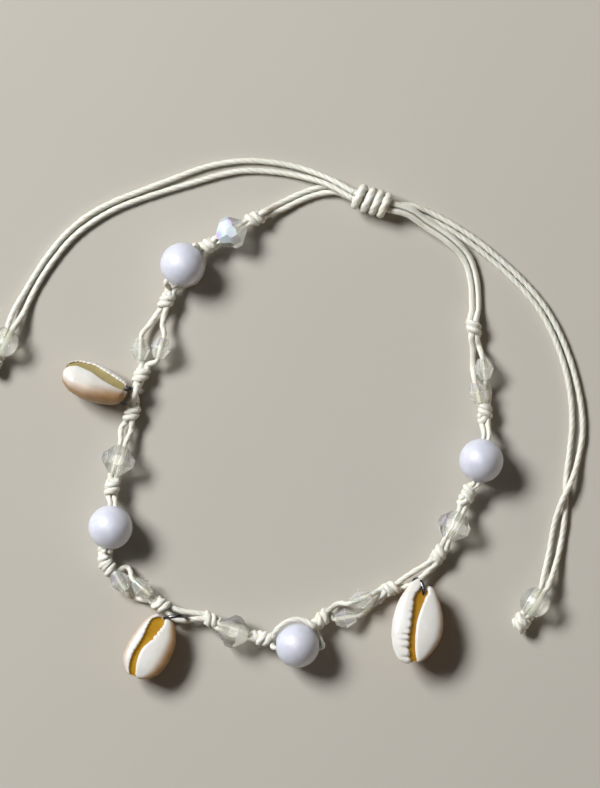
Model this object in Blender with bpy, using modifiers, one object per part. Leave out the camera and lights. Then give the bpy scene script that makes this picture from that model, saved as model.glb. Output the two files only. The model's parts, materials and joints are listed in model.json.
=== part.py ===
"""Beaded anklet: a doubled cord knotted between beads, with three cowrie shells on jump rings.

It lies flat on z = 0, with its origin in the middle of its footprint. Metres, +Z up.
"""

import math
from collections import namedtuple

import bmesh
import bpy
from mathutils import Matrix, Vector

MM = 0.001

# Gaps between pieces that don't touch in the mesh
CLEARANCE = 0.25 * MM
FLOOR_GAP = 0.05 * MM
WELD = 0.01 * MM

# Cord: two strands side by side
STRAND_DIAMETER = 1.0 * MM
STRAND_GAP = 0.15 * MM
SQUEEZED = 0.8  # share of its diameter that a strand keeps inside a bore
SQUEEZED_GAP = 0.1 * MM
CORD_STEP = 2.4 * MM
CORD_SIDES = 8
FREE_STEP = 2.6 * MM
FREE_SIDES = 12

# Overhand knots on the doubled cord
KNOT_DIAMETER = 2.9 * MM
KNOT_LENGTH = 3.1 * MM
KNOT_SIDES = 10
KNOT_SQUEEZE = 0.9  # how much closer the strands run in a knot
KNOT_SLANT = 0.35  # how far a wrap climbs for each unit across
# From end to end: place along the knot and radius there, as shares of its half length and its radius
KNOT_PROFILE = [
    (-1.0, 0.0),
    (-0.95, 0.55),
    (-0.66, 0.93),
    (-0.36, 0.84),
    (0.0, 1.0),
    (0.36, 0.84),
    (0.66, 0.93),
    (0.95, 0.55),
    (1.0, 0.0),
]

# Sliding knot: wraps round all four strands
SLIDE_LENGTH = 6.8 * MM
SLIDE_WRAPS = 4
SLIDE_WRAP_DEPTH = 0.35 * MM
SLIDE_ROUNDING = 0.3
SLIDE_X = 16.0 * MM
SLIDE_Y = 41.8 * MM
SLIDE_HEADING = -17.0
SLIDE_SLANT = 0.15  # how far a wrap climbs for each unit across
SLIDE_SIDES = 16

# Beads
WHITE_DIAMETER = 8.0 * MM
WHITE_STEPS = 12
FACETED_DIAMETER = 6.0 * MM
FACETED_LENGTH = 5.4 * MM
FACETED_SIDES = 10
FACETED_BAND = 1.4 * MM
FACETED_END = 3.4 * MM
BICONE_DIAMETER = 3.7 * MM
BICONE_LENGTH = 3.8 * MM
BICONE_END = 1.9 * MM
BICONE_SIDES = 8
END_BEAD_DIAMETER = 5.5 * MM
END_BEAD_STEPS = 10
END_BEAD_SIDES = 14
ROUND_SIDES = 16

# Strands laid round the outside of a white bead: degrees from abreast of it, and height from its middle
UNDER_ANGLES = (-35, 10, 50)
UNDER_HEIGHT = -3.0 * MM
OVER_ANGLES = (-52, -20, 12, 42)
OVER_HEIGHT = 0.8 * MM

# Jump rings and the drilled hole in each shell
RING_DIAMETER = 4.6 * MM
RING_WIRE = 0.7 * MM
RING_SIDES = 16
WIRE_SIDES = 6

# Shells: wall thicknesses, how much narrower the tip is, how blunt the ends are, and the aperture's teeth
SHELL_WALL = 0.85 * MM
SHELL_END_WALL = 1.1 * MM
SHELL_TAPER = 0.14
SHELL_POINT = 0.06
SHELL_TEETH = 8
SHELL_SIDES = 18
SHELL_RINGS = 14
HOLLOW_SIDES = 12
HOLLOW_RINGS = 10
TOOTH_DEPTH = 0.16 * MM
SLOT_DEPTH = 0.5 * MM

Station = namedtuple("Station", "kind x y z heading")

# The doubled cord's stations, from the sliding knot down the left side and round to the sliding knot again:
# what is there, its x, y and height in millimetres, and the way the cord runs there, in degrees from +X.
# Inner and outer rows guide one strand past a bead on the other.
ROUTE = [
    Station("cord", 9.8, 44.0, 1.3, 172),
    Station("cord", 6.6, 43.8, 0.7, 190),
    Station("cord", 3.0, 42.6, 0.6, 205),
    Station("cord", -0.9, 40.7, 0.9, 206),
    Station("knot", -4.9, 38.8, 2.1, 207),
    Station("faceted", -9.5, 36.1, 2.9, 210),
    Station("knot", -13.5, 33.8, 2.7, 214),
    Station("white_inner_under", -18.4, 30.2, 4.0, 232),
    Station("knot", -21.1, 24.1, 2.1, 248),
    Station("outer", -24.2, 19.6, 1.2, 240),
    Station("bicone_outer", -26.0, 14.9, 1.9, 268),
    Station("inner", -22.0, 19.4, 2.6, 266),
    Station("bicone_inner", -22.3, 15.1, 3.2, 254),
    Station("knot", -25.8, 10.5, 1.8, 252),
    Station("ring", -26.5, 7.4, 1.6, 258),
    Station("knot", -27.5, 3.7, 1.8, 256),
    Station("wide", -28.6, 0.4, 1.8, 255),
    Station("faceted", -30.0, -5.2, 2.9, 255),
    Station("knot", -31.1, -9.8, 2.6, 263),
    Station("white", -31.4, -17.4, 4.0, 264),
    Station("knot", -32.4, -22.8, 1.6, 275),
    Station("knot", -32.0, -24.1, 1.6, 300),
    Station("bicone_outer", -29.7, -27.2, 2.2, 302),
    Station("outer", -27.2, -30.2, 0.6, 325),
    Station("inner", -28.3, -24.8, 0.8, 320),
    Station("bicone_inner", -25.7, -28.4, 2.7, 318),
    Station("knot", -22.6, -31.3, 1.7, 330),
    Station("ring", -18.8, -33.46, 1.7, 338),
    Station("knot", -13.5, -34.1, 2.0, 342),
    Station("faceted", -9.1, -36.3, 2.9, 341),
    Station("knot", -3.9, -37.5, 2.6, 348),
    Station("white_inner_over", 2.5, -38.8, 4.0, 0),
    Station("knot", 6.8, -34.1, 2.0, 40),
    Station("bicone_outer", 11.2, -33.9, 1.9, 8),
    Station("outer", 15.0, -32.7, 0.6, 25),
    Station("inner", 10.0, -31.3, 1.0, 25),
    Station("bicone_inner", 14.0, -30.4, 2.8, 22),
    Station("knot", 19.1, -28.7, 1.7, 24),
    Station("ring", 22.9, -27.0, 2.0, 34),
    Station("knot", 27.9, -22.7, 2.0, 52),
    Station("faceted", 30.9, -17.1, 2.9, 64),
    Station("knot", 33.2, -11.8, 2.6, 68),
    Station("white", 35.8, -5.3, 4.0, 78),
    Station("knot", 36.5, 3.3, 2.0, 90),
    Station("bicone_inner", 35.2, 7.0, 2.6, 104),
    Station("inner", 34.4, 11.4, 0.7, 92),
    Station("outer", 37.3, 7.5, 0.8, 90),
    Station("bicone_outer", 36.3, 11.3, 2.6, 98),
    Station("cord", 34.9, 15.4, 1.2, 94),
    Station("knot", 34.5, 18.7, 1.7, 92),
    Station("cord", 34.8, 22.5, 0.7, 90),
    Station("cord", 34.5, 27.5, 0.7, 96),
    Station("cord", 33.1, 31.7, 0.9, 115),
    Station("cord", 30.0, 34.9, 1.6, 140),
    Station("cord", 26.0, 37.6, 1.9, 147),
    Station("cord", 22.9, 39.7, 2.7, 150),
]

# The free ends, each strand from the sliding knot to its bead: x, y and height in millimetres
FREE_RIGHT_A = [
    (23.3, 41.0, 1.2),
    (26.3, 40.0, 0.6),
    (30.3, 37.9, 0.57),
    (33.9, 35.6, 0.57),
    (37.2, 33.1, 0.57),
    (43.0, 27.9, 0.57),
    (47.3, 22.9, 0.57),
    (50.0, 18.2, 0.57),
    (52.0, 13.2, 0.57),
    (53.2, 9.0, 0.57),
    (54.1, 4.3, 0.57),
    (54.3, -0.3, 0.57),
    (53.5, -5.0, 0.7),
    (52.3, -8.9, 1.5),
    (51.0, -11.6, 1.8),
    (49.9, -14.2, 1.3),
    (49.0, -17.5, 0.6),
    (48.2, -22.0, 0.6),
    (47.3, -25.8, 1.5),
]
FREE_RIGHT_B = [
    (22.9, 39.9, 1.2),
    (25.7, 38.9, 0.6),
    (29.7, 36.9, 0.57),
    (33.3, 34.6, 0.57),
    (36.6, 32.1, 0.57),
    (42.2, 27.1, 0.57),
    (46.3, 22.3, 0.57),
    (48.9, 17.6, 0.57),
    (50.9, 12.2, 0.57),
    (52.0, 7.2, 0.57),
    (52.4, 1.7, 0.57),
    (51.9, -3.9, 0.57),
    (51.3, -8.5, 0.57),
    (51.2, -12.0, 0.57),
    (51.0, -16.0, 0.57),
    (50.3, -20.6, 0.6),
    (49.0, -25.4, 1.5),
]
FREE_LEFT_A = [
    (8.3, 45.9, 2.0),
    (2.9, 47.9, 0.8),
    (-2.0, 48.9, 0.57),
    (-7.1, 49.2, 0.57),
    (-11.5, 48.7, 0.57),
    (-15.4, 47.7, 0.57),
    (-21.0, 45.6, 0.57),
    (-26.3, 43.6, 0.57),
    (-31.3, 41.6, 0.57),
    (-35.8, 39.1, 0.57),
    (-39.6, 35.9, 0.57),
    (-42.8, 32.1, 0.57),
    (-45.2, 28.5, 0.57),
    (-47.3, 25.0, 0.7),
    (-49.0, 22.0, 1.3),
]
FREE_LEFT_B = [
    (7.7, 44.9, 2.2),
    (2.9, 46.4, 1.0),
    (-2.0, 47.2, 0.6),
    (-7.1, 47.4, 0.57),
    (-11.3, 46.7, 0.57),
    (-15.2, 45.6, 0.57),
    (-20.6, 44.0, 0.57),
    (-25.9, 42.3, 0.57),
    (-30.7, 40.4, 0.57),
    (-35.0, 37.9, 0.57),
    (-38.7, 34.9, 0.57),
    (-41.7, 31.3, 0.57),
    (-44.1, 27.8, 0.57),
    (-46.0, 24.3, 0.6),
    (-47.4, 21.3, 1.3),
]

EndBead = namedtuple("EndBead", "name x y heading")
END_BEADS = [
    EndBead("right", 45.5, -31.0, 237),
    EndBead("left", -50.9, 16.2, 244),
]

Shell = namedtuple("Shell", "length width base dome x y heading roll slot")

# Aperture sections from the blunt end to the tip: place along the half length, middle as a share of the half
# width towards the left lip, and width as a share of the shell's width.
SLOT_NARROW = [
    (-1.05, 0.05, 0.11),
    (-0.65, 0.09, 0.09),
    (-0.33, 0.14, 0.09),
    (0.09, 0.07, 0.12),
    (0.51, -0.04, 0.16),
    (0.79, -0.18, 0.13),
    (1.05, -0.26, 0.12),
]
SLOT_WIDE = [
    (-1.05, 0.20, 0.12),
    (-0.90, 0.21, 0.13),
    (-0.50, 0.34, 0.13),
    (-0.08, 0.31, 0.15),
    (0.38, 0.24, 0.22),
    (0.80, 0.16, 0.26),
    (1.05, 0.10, 0.25),
]
SHELLS = [
    Shell(11.9 * MM, 8.0 * MM, 1.4 * MM, 5.0 * MM, -34.0 * MM, 8.7 * MM, -12, -58, SLOT_WIDE),
    Shell(12.5 * MM, 8.3 * MM, 1.3 * MM, 4.6 * MM, -24.2 * MM, -39.2 * MM, 64.5, 0, SLOT_WIDE),
    Shell(15.5 * MM, 9.4 * MM, 1.5 * MM, 5.1 * MM, 24.3 * MM, -34.6 * MM, 84.6, 0, SLOT_NARROW),
]

# Each ring's middle in millimetres, the way from its shell to the cord in degrees, and how far its plane
# leans from upright.
Ring = namedtuple("Ring", "x y heading lean")
RINGS = [
    Ring(-28.3, 7.3, 8, 10),
    Ring(-20.4, -33.9, 12, 12),
    Ring(23.8, -28.7, 102, -28),
]

COLOURS = {
    "cord": ((0.80, 0.76, 0.66), 0.75, 0.0),
    "white": ((0.88, 0.88, 0.93), 0.2, 0.0),
    "clear": ((0.80, 0.84, 0.84), 0.08, 0.0),
    "shell": ((0.90, 0.84, 0.76), 0.25, 0.0),
    "steel": ((0.10, 0.10, 0.11), 0.3, 1.0),
}


def clear_scene():
    for old in list(bpy.data.objects):
        bpy.data.objects.remove(old)


def new_collection(name):
    collection = bpy.data.collections.new(name)
    bpy.context.scene.collection.children.link(collection)
    return collection


def new_material(name):
    colour, roughness, metallic = COLOURS[name]
    material = bpy.data.materials.new(name)
    material.use_nodes = True
    shader = material.node_tree.nodes["Principled BSDF"]
    shader.inputs["Base Color"].default_value = (*colour, 1.0)
    shader.inputs["Roughness"].default_value = roughness
    shader.inputs["Metallic"].default_value = metallic
    return material


def new_part(name, mesh, material_name, matrix=None):
    """A finished piece of the anklet, with a material of its own."""
    part = bpy.data.objects.new(name, mesh)
    part.matrix_world = matrix or Matrix()
    parts.objects.link(part)
    material = new_material(material_name)
    if mesh.materials:
        part.material_slots[0].link = "OBJECT"
        part.material_slots[0].material = material
    else:
        mesh.materials.append(material)
    return part


def new_tool(name, mesh, matrix=None):
    """A cutter, or a shape that is joined into a piece."""
    tool = bpy.data.objects.new(name, mesh)
    tool.matrix_world = matrix or Matrix()
    tool.hide_render = True
    tool.display_type = "WIRE"
    tools.objects.link(tool)
    return tool


def boolean(target, tool, operation):
    modifier = target.modifiers.new(f"{operation.lower()} {tool.name}", "BOOLEAN")
    modifier.operation = operation
    modifier.solver = "EXACT"
    modifier.object = tool


def mesh_from(name, bm):
    mesh = bpy.data.meshes.new(name)
    bm.normal_update()
    bm.to_mesh(mesh)
    bm.free()
    return mesh


def across(heading):
    """The way to the inside of the loop from a cord that runs this way."""
    return Vector((-math.sin(math.radians(heading)), math.cos(math.radians(heading)), 0.0))


def ahead(heading):
    return Vector((math.cos(math.radians(heading)), math.sin(math.radians(heading)), 0.0))


def lying(middle, heading, roll=0.0):
    """The place of a turned piece whose axis lies level along a heading, with its +X side down."""
    along = ahead(heading)
    down = Vector((0.0, 0.0, -1.0))
    frame = Matrix((down, along.cross(down), along)).transposed().to_4x4()
    return Matrix.Translation(middle) @ frame @ Matrix.Rotation(roll, 4, "Z")


# Turned beads


def outline_edges(outline):
    """A closed outline of radius and height, down the outer side and back up the bore, as edges."""
    bm = bmesh.new()
    points = [bm.verts.new((radius, 0.0, height)) for radius, height in outline]
    for first, second in zip(points, points[1:] + points[:1]):
        bm.edges.new((first, second))
    return bm


def turn(part, sides):
    screw = part.modifiers.new("turned", "SCREW")
    screw.steps = sides
    screw.render_steps = sides
    screw.use_merge_vertices = True
    screw.merge_threshold = WELD


def double_bore():
    """The bore radius that two squeezed strands pass through side by side."""
    return STRAND_DIAMETER * SQUEEZED + SQUEEZED_GAP / 2 + CLEARANCE


def single_bore():
    return STRAND_DIAMETER * SQUEEZED / 2 + CLEARANCE


def round_half_length(diameter, bore):
    return math.sqrt((diameter / 2) ** 2 - bore**2)


def round_outline(diameter, bore, steps):
    radius = diameter / 2
    start = math.asin(bore / radius)
    outline = []
    for i in range(steps + 1):
        angle = start + (math.pi - 2 * start) * i / steps
        outline.append((radius * math.sin(angle), radius * math.cos(angle)))
    return outline


def faceted_outline():
    half = FACETED_LENGTH / 2
    band = FACETED_BAND / 2
    return [
        (FACETED_END / 2, half),
        (FACETED_DIAMETER / 2, band),
        (FACETED_DIAMETER / 2, -band),
        (FACETED_END / 2, -half),
        (double_bore(), -half),
        (double_bore(), half),
    ]


def bicone_outline():
    half = BICONE_LENGTH / 2
    return [
        (BICONE_END / 2, half),
        (BICONE_DIAMETER / 2, 0.0),
        (BICONE_END / 2, -half),
        (single_bore(), -half),
        (single_bore(), half),
    ]


def add_beads():
    white = round_outline(WHITE_DIAMETER, double_bore(), WHITE_STEPS)
    meshes = {
        "white": mesh_from("white bead", outline_edges(white)),
        "faceted": mesh_from("faceted bead", outline_edges(faceted_outline())),
        "bicone": mesh_from("bicone", outline_edges(bicone_outline())),
    }
    sides = {"white": ROUND_SIDES, "faceted": FACETED_SIDES, "bicone": BICONE_SIDES}
    colours = {"white": "white", "faceted": "clear", "bicone": "clear"}
    names = {"white": "white_bead", "faceted": "faceted_bead", "bicone": "bicone"}
    counts = dict.fromkeys(meshes, 0)
    for station in ROUTE:
        kind = station.kind.split("_")[0]
        if kind not in meshes:
            continue
        counts[kind] += 1
        roll = math.pi / sides[kind] if kind != "white" else 0.0
        place = lying(station_middle(station), station.heading, roll)
        bead = new_part(f"{names[kind]}_{counts[kind]}", meshes[kind], colours[kind], place)
        turn(bead, sides[kind])


# Knots


def knot_mesh(name, diameter, length):
    """A barrel of three slanting wraps, round the Z axis."""
    bm = bmesh.new()
    rings = len(KNOT_PROFILE) - 1
    bmesh.ops.create_uvsphere(bm, u_segments=KNOT_SIDES, v_segments=rings, radius=1.0)
    for vert in bm.verts:
        ring = round(math.acos(max(-1.0, min(1.0, vert.co.z))) / math.pi * rings)
        along, out = KNOT_PROFILE[rings - ring]
        flat = Vector((vert.co.x, vert.co.y, 0.0))
        if flat.length > 0.01:
            flat.normalize()
        side = flat * out * diameter / 2
        vert.co = (side.x, side.y, along * length / 2 + side.y * KNOT_SLANT)
    return mesh_from(name, bm)


# Strands


class Strand:
    """One strand's guide points, its thickness at each as a share, and the straight runs through bores."""

    def __init__(self):
        self.points = []
        self.shares = []
        self.straight = []

    def add(self, point, share=1.0, straight=False):
        self.points.append(Vector(point))
        self.shares.append(share)
        self.straight.append(straight)

    def direction(self, i):
        last = len(self.points) - 1
        if self.straight[i] and i < last:
            return (self.points[i + 1] - self.points[i]).normalized()
        if i > 0 and self.straight[i - 1]:
            return (self.points[i] - self.points[i - 1]).normalized()
        return (self.points[min(i + 1, last)] - self.points[max(i - 1, 0)]).normalized()

    def smooth(self, step):
        """Points about a step apart on a smooth curve through the guide points, with their shares."""
        line = [(self.points[0], self.shares[0])]
        for i in range(len(self.points) - 1):
            start = self.points[i]
            end = self.points[i + 1]
            run = (end - start).length
            pieces = 1 if self.straight[i] else max(1, round(run / step))
            leave = self.direction(i) * run
            arrive = self.direction(i + 1) * run
            for k in range(1, pieces + 1):
                t = k / pieces
                point = (
                    start * (2 * t**3 - 3 * t**2 + 1)
                    + leave * (t**3 - 2 * t**2 + t)
                    + end * (3 * t**2 - 2 * t**3)
                    + arrive * (t**3 - t**2)
                )
                share = self.shares[i] * (1 - t) + self.shares[i + 1] * t
                line.append((point, share))
        return line


def tube_mesh(name, line, diameter, sides):
    """A capped round tube along a line of points, as a mesh whose caps are welded."""
    curve = bpy.data.curves.new(name, "CURVE")
    curve.dimensions = "3D"
    curve.bevel_depth = diameter / 2
    curve.bevel_resolution = sides // 4 - 1
    curve.use_fill_caps = True
    spline = curve.splines.new("POLY")
    spline.points.add(len(line) - 1)
    for spline_point, (point, share) in zip(spline.points, line):
        spline_point.co = (*point, 1.0)
        spline_point.radius = share
    guide = bpy.data.objects.new(name, curve)
    tools.objects.link(guide)
    graph = bpy.context.evaluated_depsgraph_get()
    mesh = bpy.data.meshes.new_from_object(guide.evaluated_get(graph))
    bpy.data.objects.remove(guide)
    bm = bmesh.new()
    bm.from_mesh(mesh)
    bmesh.ops.remove_doubles(bm, verts=bm.verts, dist=WELD)
    bmesh.ops.recalc_face_normals(bm, faces=bm.faces)
    bpy.data.meshes.remove(mesh)
    return mesh_from(name, bm)


def half_spread(kind):
    """How far each strand runs from the cord's middle line."""
    side_by_side = (STRAND_DIAMETER + STRAND_GAP) / 2
    if kind == "ring":
        return (RING_WIRE + STRAND_DIAMETER) / 2 + 1.5 * CLEARANCE
    if kind == "wide":
        return side_by_side + STRAND_DIAMETER / 3
    if kind == "knot":
        return side_by_side * KNOT_SQUEEZE
    return side_by_side


def station_middle(station):
    """The middle of a station; a round or faceted bead rests on the ground."""
    height = {
        "white": WHITE_DIAMETER / 2,
        "faceted": FACETED_DIAMETER / 2 * math.cos(math.pi / FACETED_SIDES),
    }.get(station.kind.split("_")[0], station.z * MM)
    return Vector((station.x * MM, station.y * MM, height))


def add_bore(strand, station, half_length, offset):
    """A straight run through a bead, from just outside one mouth to just outside the other."""
    middle = station_middle(station) + across(station.heading) * offset
    reach = ahead(station.heading) * (half_length + CLEARANCE)
    strand.add(middle - reach, SQUEEZED, straight=True)
    strand.add(middle + reach, SQUEEZED)


def add_round_bead(strand, station, angles, rise):
    """A strand laid round the outside of a bead, on the inner side of the loop."""
    middle = station_middle(station)
    out = (WHITE_DIAMETER + STRAND_DIAMETER) / 2 + CLEARANCE
    level = math.sqrt(out**2 - rise**2)
    for angle in angles:
        turned = math.radians(angle)
        way = across(station.heading) * math.cos(turned) + ahead(station.heading) * math.sin(turned)
        strand.add(middle + way * level + Vector((0.0, 0.0, rise)))


def add_station(inner, outer, station):
    kind = station.kind
    if kind in ("cord", "wide", "knot", "ring"):
        side = across(station.heading) * half_spread(kind)
        inner.add(station_middle(station) + side)
        outer.add(station_middle(station) - side)
    elif kind == "inner":
        inner.add(station_middle(station))
    elif kind == "outer":
        outer.add(station_middle(station))
    elif kind == "bicone_inner":
        add_bore(inner, station, BICONE_LENGTH / 2, 0.0)
    elif kind == "bicone_outer":
        add_bore(outer, station, BICONE_LENGTH / 2, 0.0)
    else:
        half_length = FACETED_LENGTH / 2
        if kind.startswith("white"):
            half_length = round_half_length(WHITE_DIAMETER, double_bore())
        beside = (STRAND_DIAMETER * SQUEEZED + SQUEEZED_GAP) / 2
        add_bore(outer, station, half_length, -beside)
        if kind == "white_inner_under":
            add_round_bead(inner, station, UNDER_ANGLES, UNDER_HEIGHT)
        elif kind == "white_inner_over":
            add_round_bead(inner, station, OVER_ANGLES, OVER_HEIGHT)
        else:
            add_bore(inner, station, half_length, beside)


def slide_radius():
    """The bore radius of the sliding knot, which holds four strands in two rows."""
    lane = (STRAND_DIAMETER + STRAND_GAP) / 2
    return math.hypot(lane, lane) + STRAND_DIAMETER / 2 + CLEARANCE


def slide_outer_radius():
    return slide_radius() + STRAND_DIAMETER


def slide_point(end, row, lane, beyond):
    """A strand's middle in the sliding knot: end and lane are -1 or 1, and row is -1 below or 1 above."""
    apart = (STRAND_DIAMETER + STRAND_GAP) / 2
    middle = Vector((SLIDE_X, SLIDE_Y, slide_outer_radius()))
    along = ahead(SLIDE_HEADING) * end * (SLIDE_LENGTH / 2 + beyond)
    return middle + along + across(SLIDE_HEADING) * lane * apart + Vector((0, 0, row * apart))


def add_cord_loop():
    """Both strands and their knots, fused: the string that the beads sit on."""
    inner = Strand()
    outer = Strand()
    for strand, lane in ((inner, -1), (outer, 1)):
        strand.add(slide_point(1, -1, lane, CLEARANCE), straight=True)
        strand.add(slide_point(-1, -1, lane, CLEARANCE))
    for station in ROUTE:
        add_station(inner, outer, station)
    for strand, lane in ((inner, -1), (outer, 1)):
        strand.add(slide_point(1, 1, lane, CLEARANCE), straight=True)
        strand.add(slide_point(-1, 1, lane, CLEARANCE))
    inner_mesh = tube_mesh("inner strand", inner.smooth(CORD_STEP), STRAND_DIAMETER, CORD_SIDES)
    outer_mesh = tube_mesh("outer strand", outer.smooth(CORD_STEP), STRAND_DIAMETER, CORD_SIDES)
    cord = new_part("cord_loop", inner_mesh, "cord")
    joined = bpy.data.collections.new("joined into the cord")
    tools.children.link(joined)
    pieces = [new_tool("outer strand", outer_mesh)]
    mesh = knot_mesh("knot", KNOT_DIAMETER, KNOT_LENGTH)
    for number, station in enumerate(s for s in ROUTE if s.kind == "knot"):
        place = lying(station_middle(station), station.heading, math.pi / 2)
        pieces.append(new_tool(f"knot {number + 1}", mesh, place))
    for piece in pieces:
        tools.objects.unlink(piece)
        joined.objects.link(piece)
    union = cord.modifiers.new("strands and knots", "BOOLEAN")
    union.operation = "UNION"
    union.solver = "EXACT"
    union.operand_type = "COLLECTION"
    union.collection = joined


def add_sliding_knot():
    """Slanting wraps round the four strands."""
    half = SLIDE_LENGTH / 2
    outer = slide_outer_radius()
    wrap = SLIDE_LENGTH / SLIDE_WRAPS
    outline = []
    for number in range(SLIDE_WRAPS):
        top = half - number * wrap
        outline.append((outer - SLIDE_WRAP_DEPTH, top))
        outline.append((outer, top - wrap * SLIDE_ROUNDING))
        outline.append((outer, top - wrap * (1 - SLIDE_ROUNDING)))
    outline.append((outer - SLIDE_WRAP_DEPTH, -half))
    outline.append((slide_radius(), -half))
    outline.append((slide_radius(), half))
    bm = outline_edges(outline)
    bmesh.ops.spin(
        bm,
        geom=bm.verts[:] + bm.edges[:],
        axis=(0.0, 0.0, 1.0),
        angle=math.tau,
        steps=SLIDE_SIDES,
    )
    bmesh.ops.remove_doubles(bm, verts=bm.verts, dist=WELD)
    bmesh.ops.recalc_face_normals(bm, faces=bm.faces)
    for vert in bm.verts:
        vert.co.z += vert.co.y * SLIDE_SLANT
    place = lying(Vector((SLIDE_X, SLIDE_Y, outer)), SLIDE_HEADING)
    new_part("sliding_knot", mesh_from("sliding knot", bm), "cord", place)


# Free ends


def end_bead_half_length():
    return round_half_length(END_BEAD_DIAMETER, double_bore())


def end_bead_middle(end):
    return Vector((end.x * MM, end.y * MM, END_BEAD_DIAMETER / 2))


def add_free_strand(name, end, row, lane, points, last_lane):
    """One strand of a free end, from the sliding knot's mouth to the mouth of its bead."""
    strand = Strand()
    mouth = -1 if end.name == "left" else 1
    strand.add(slide_point(mouth, row, lane, 2 * CLEARANCE + SQUEEZED_GAP))
    for point in points:
        strand.add(Vector(point) * MM)
    beside = across(end.heading) * last_lane * (STRAND_DIAMETER + STRAND_GAP) / 2
    back = ahead(end.heading) * (end_bead_half_length() + 3 * CLEARANCE)
    strand.add(end_bead_middle(end) - back + beside)
    new_part(name, tube_mesh(name, strand.smooth(FREE_STEP), STRAND_DIAMETER, FREE_SIDES), "cord")


def add_end(end):
    """A clear bead, and the knot behind it whose doubled cord fills the bead's bore."""
    middle = end_bead_middle(end)
    outline = round_outline(END_BEAD_DIAMETER, double_bore(), END_BEAD_STEPS)
    bead_mesh = mesh_from("end bead", outline_edges(outline))
    bead = new_part(f"end_bead_{end.name}", bead_mesh, "clear", lying(middle, end.heading))
    turn(bead, END_BEAD_SIDES)
    half = end_bead_half_length()
    behind = half + CLEARANCE + KNOT_LENGTH / 2
    knot_middle = middle + ahead(end.heading) * behind
    knot_middle.z = KNOT_DIAMETER / 2 + FLOOR_GAP
    knot = new_part(
        f"end_knot_{end.name}",
        knot_mesh("end knot", KNOT_DIAMETER, KNOT_LENGTH),
        "cord",
        lying(knot_middle, end.heading, math.pi / 2),
    )
    core = Strand()
    core.add(middle - ahead(end.heading) * (half + CLEARANCE), straight=True)
    core.add(middle + ahead(end.heading) * (half + CLEARANCE))
    core.add(knot_middle)
    diameter = 2 * (double_bore() - CLEARANCE)
    stub_mesh = tube_mesh("doubled cord", core.smooth(CORD_STEP), diameter, FREE_SIDES)
    boolean(knot, new_tool(f"doubled cord {end.name}", stub_mesh), "UNION")


# Shells and rings


def shell_mesh(name, shell, wall, end_wall, around, rings):
    """The shell's egg shape, smaller by a wall: +X is the tip, and +Z the side with the aperture."""
    bm = bmesh.new()
    bmesh.ops.create_uvsphere(bm, u_segments=around, v_segments=rings, radius=1.0)
    for vert in bm.verts:
        side, up, along = vert.co
        narrow = (1 - SHELL_TAPER * along) * max(0.0, 1 - along * along) ** SHELL_POINT
        height = (shell.base if up > 0 else shell.dome) - wall
        vert.co = (
            along * (shell.length / 2 - end_wall),
            side * narrow * (shell.width / 2 - wall),
            up * narrow * height,
        )
    return mesh_from(name, bm)


def slot_outline(shell):
    """The aperture's edge: the left lip towards the tip, then the right lip back, both toothed."""
    steps = 2 * SHELL_TEETH
    left = []
    right = []
    first = shell.slot[0][0]
    last = shell.slot[-1][0]
    for i in range(steps + 1):
        place = first + (last - first) * i / steps
        for (start, *before), (end, *after) in zip(shell.slot, shell.slot[1:]):
            if start <= place <= end:
                t = (place - start) / (end - start)
                middle, width = (a * (1 - t) + b * t for a, b in zip(before, after))
        tooth = TOOTH_DEPTH * (1 if i % 2 else -1)
        centre = middle * shell.width / 2
        half = width * shell.width / 2
        left.append((place * shell.length / 2, centre + half + tooth))
        right.append((place * shell.length / 2, centre - half - tooth / 2))
    return left + right[::-1]


def slot_mesh(name, shell):
    """The aperture's cutter, from inside the hollow to above the base."""
    bm = bmesh.new()
    outline = [bm.verts.new((x, y, -SLOT_DEPTH)) for x, y in slot_outline(shell)]
    face = bm.faces.new(outline)
    raised = bmesh.ops.extrude_face_region(bm, geom=[face])
    top = [item for item in raised["geom"] if isinstance(item, bmesh.types.BMVert)]
    bmesh.ops.translate(bm, verts=top, vec=(0.0, 0.0, SLOT_DEPTH + 2 * shell.base))
    bmesh.ops.recalc_face_normals(bm, faces=bm.faces)
    return mesh_from(name, bm)


def torus_mesh(name, wire, sides):
    bpy.ops.mesh.primitive_torus_add(
        major_radius=(RING_DIAMETER - RING_WIRE) / 2,
        minor_radius=wire / 2,
        major_segments=RING_SIDES,
        minor_segments=sides,
    )
    made = bpy.context.object
    mesh = made.data
    mesh.name = name
    bpy.data.objects.remove(made)
    return mesh


def ring_place(ring):
    """A ring's place: its plane stands along its heading, then leans over."""
    along = ahead(ring.heading)
    lean = math.radians(ring.lean)
    up = Vector((0, 0, 1)) * math.cos(lean) + across(ring.heading) * math.sin(lean)
    frame = Matrix((along, up, along.cross(up))).transposed().to_4x4()
    middle = Vector((ring.x * MM, ring.y * MM, RING_DIAMETER / 2 + 2 * FLOOR_GAP))
    return Matrix.Translation(middle) @ frame


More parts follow.
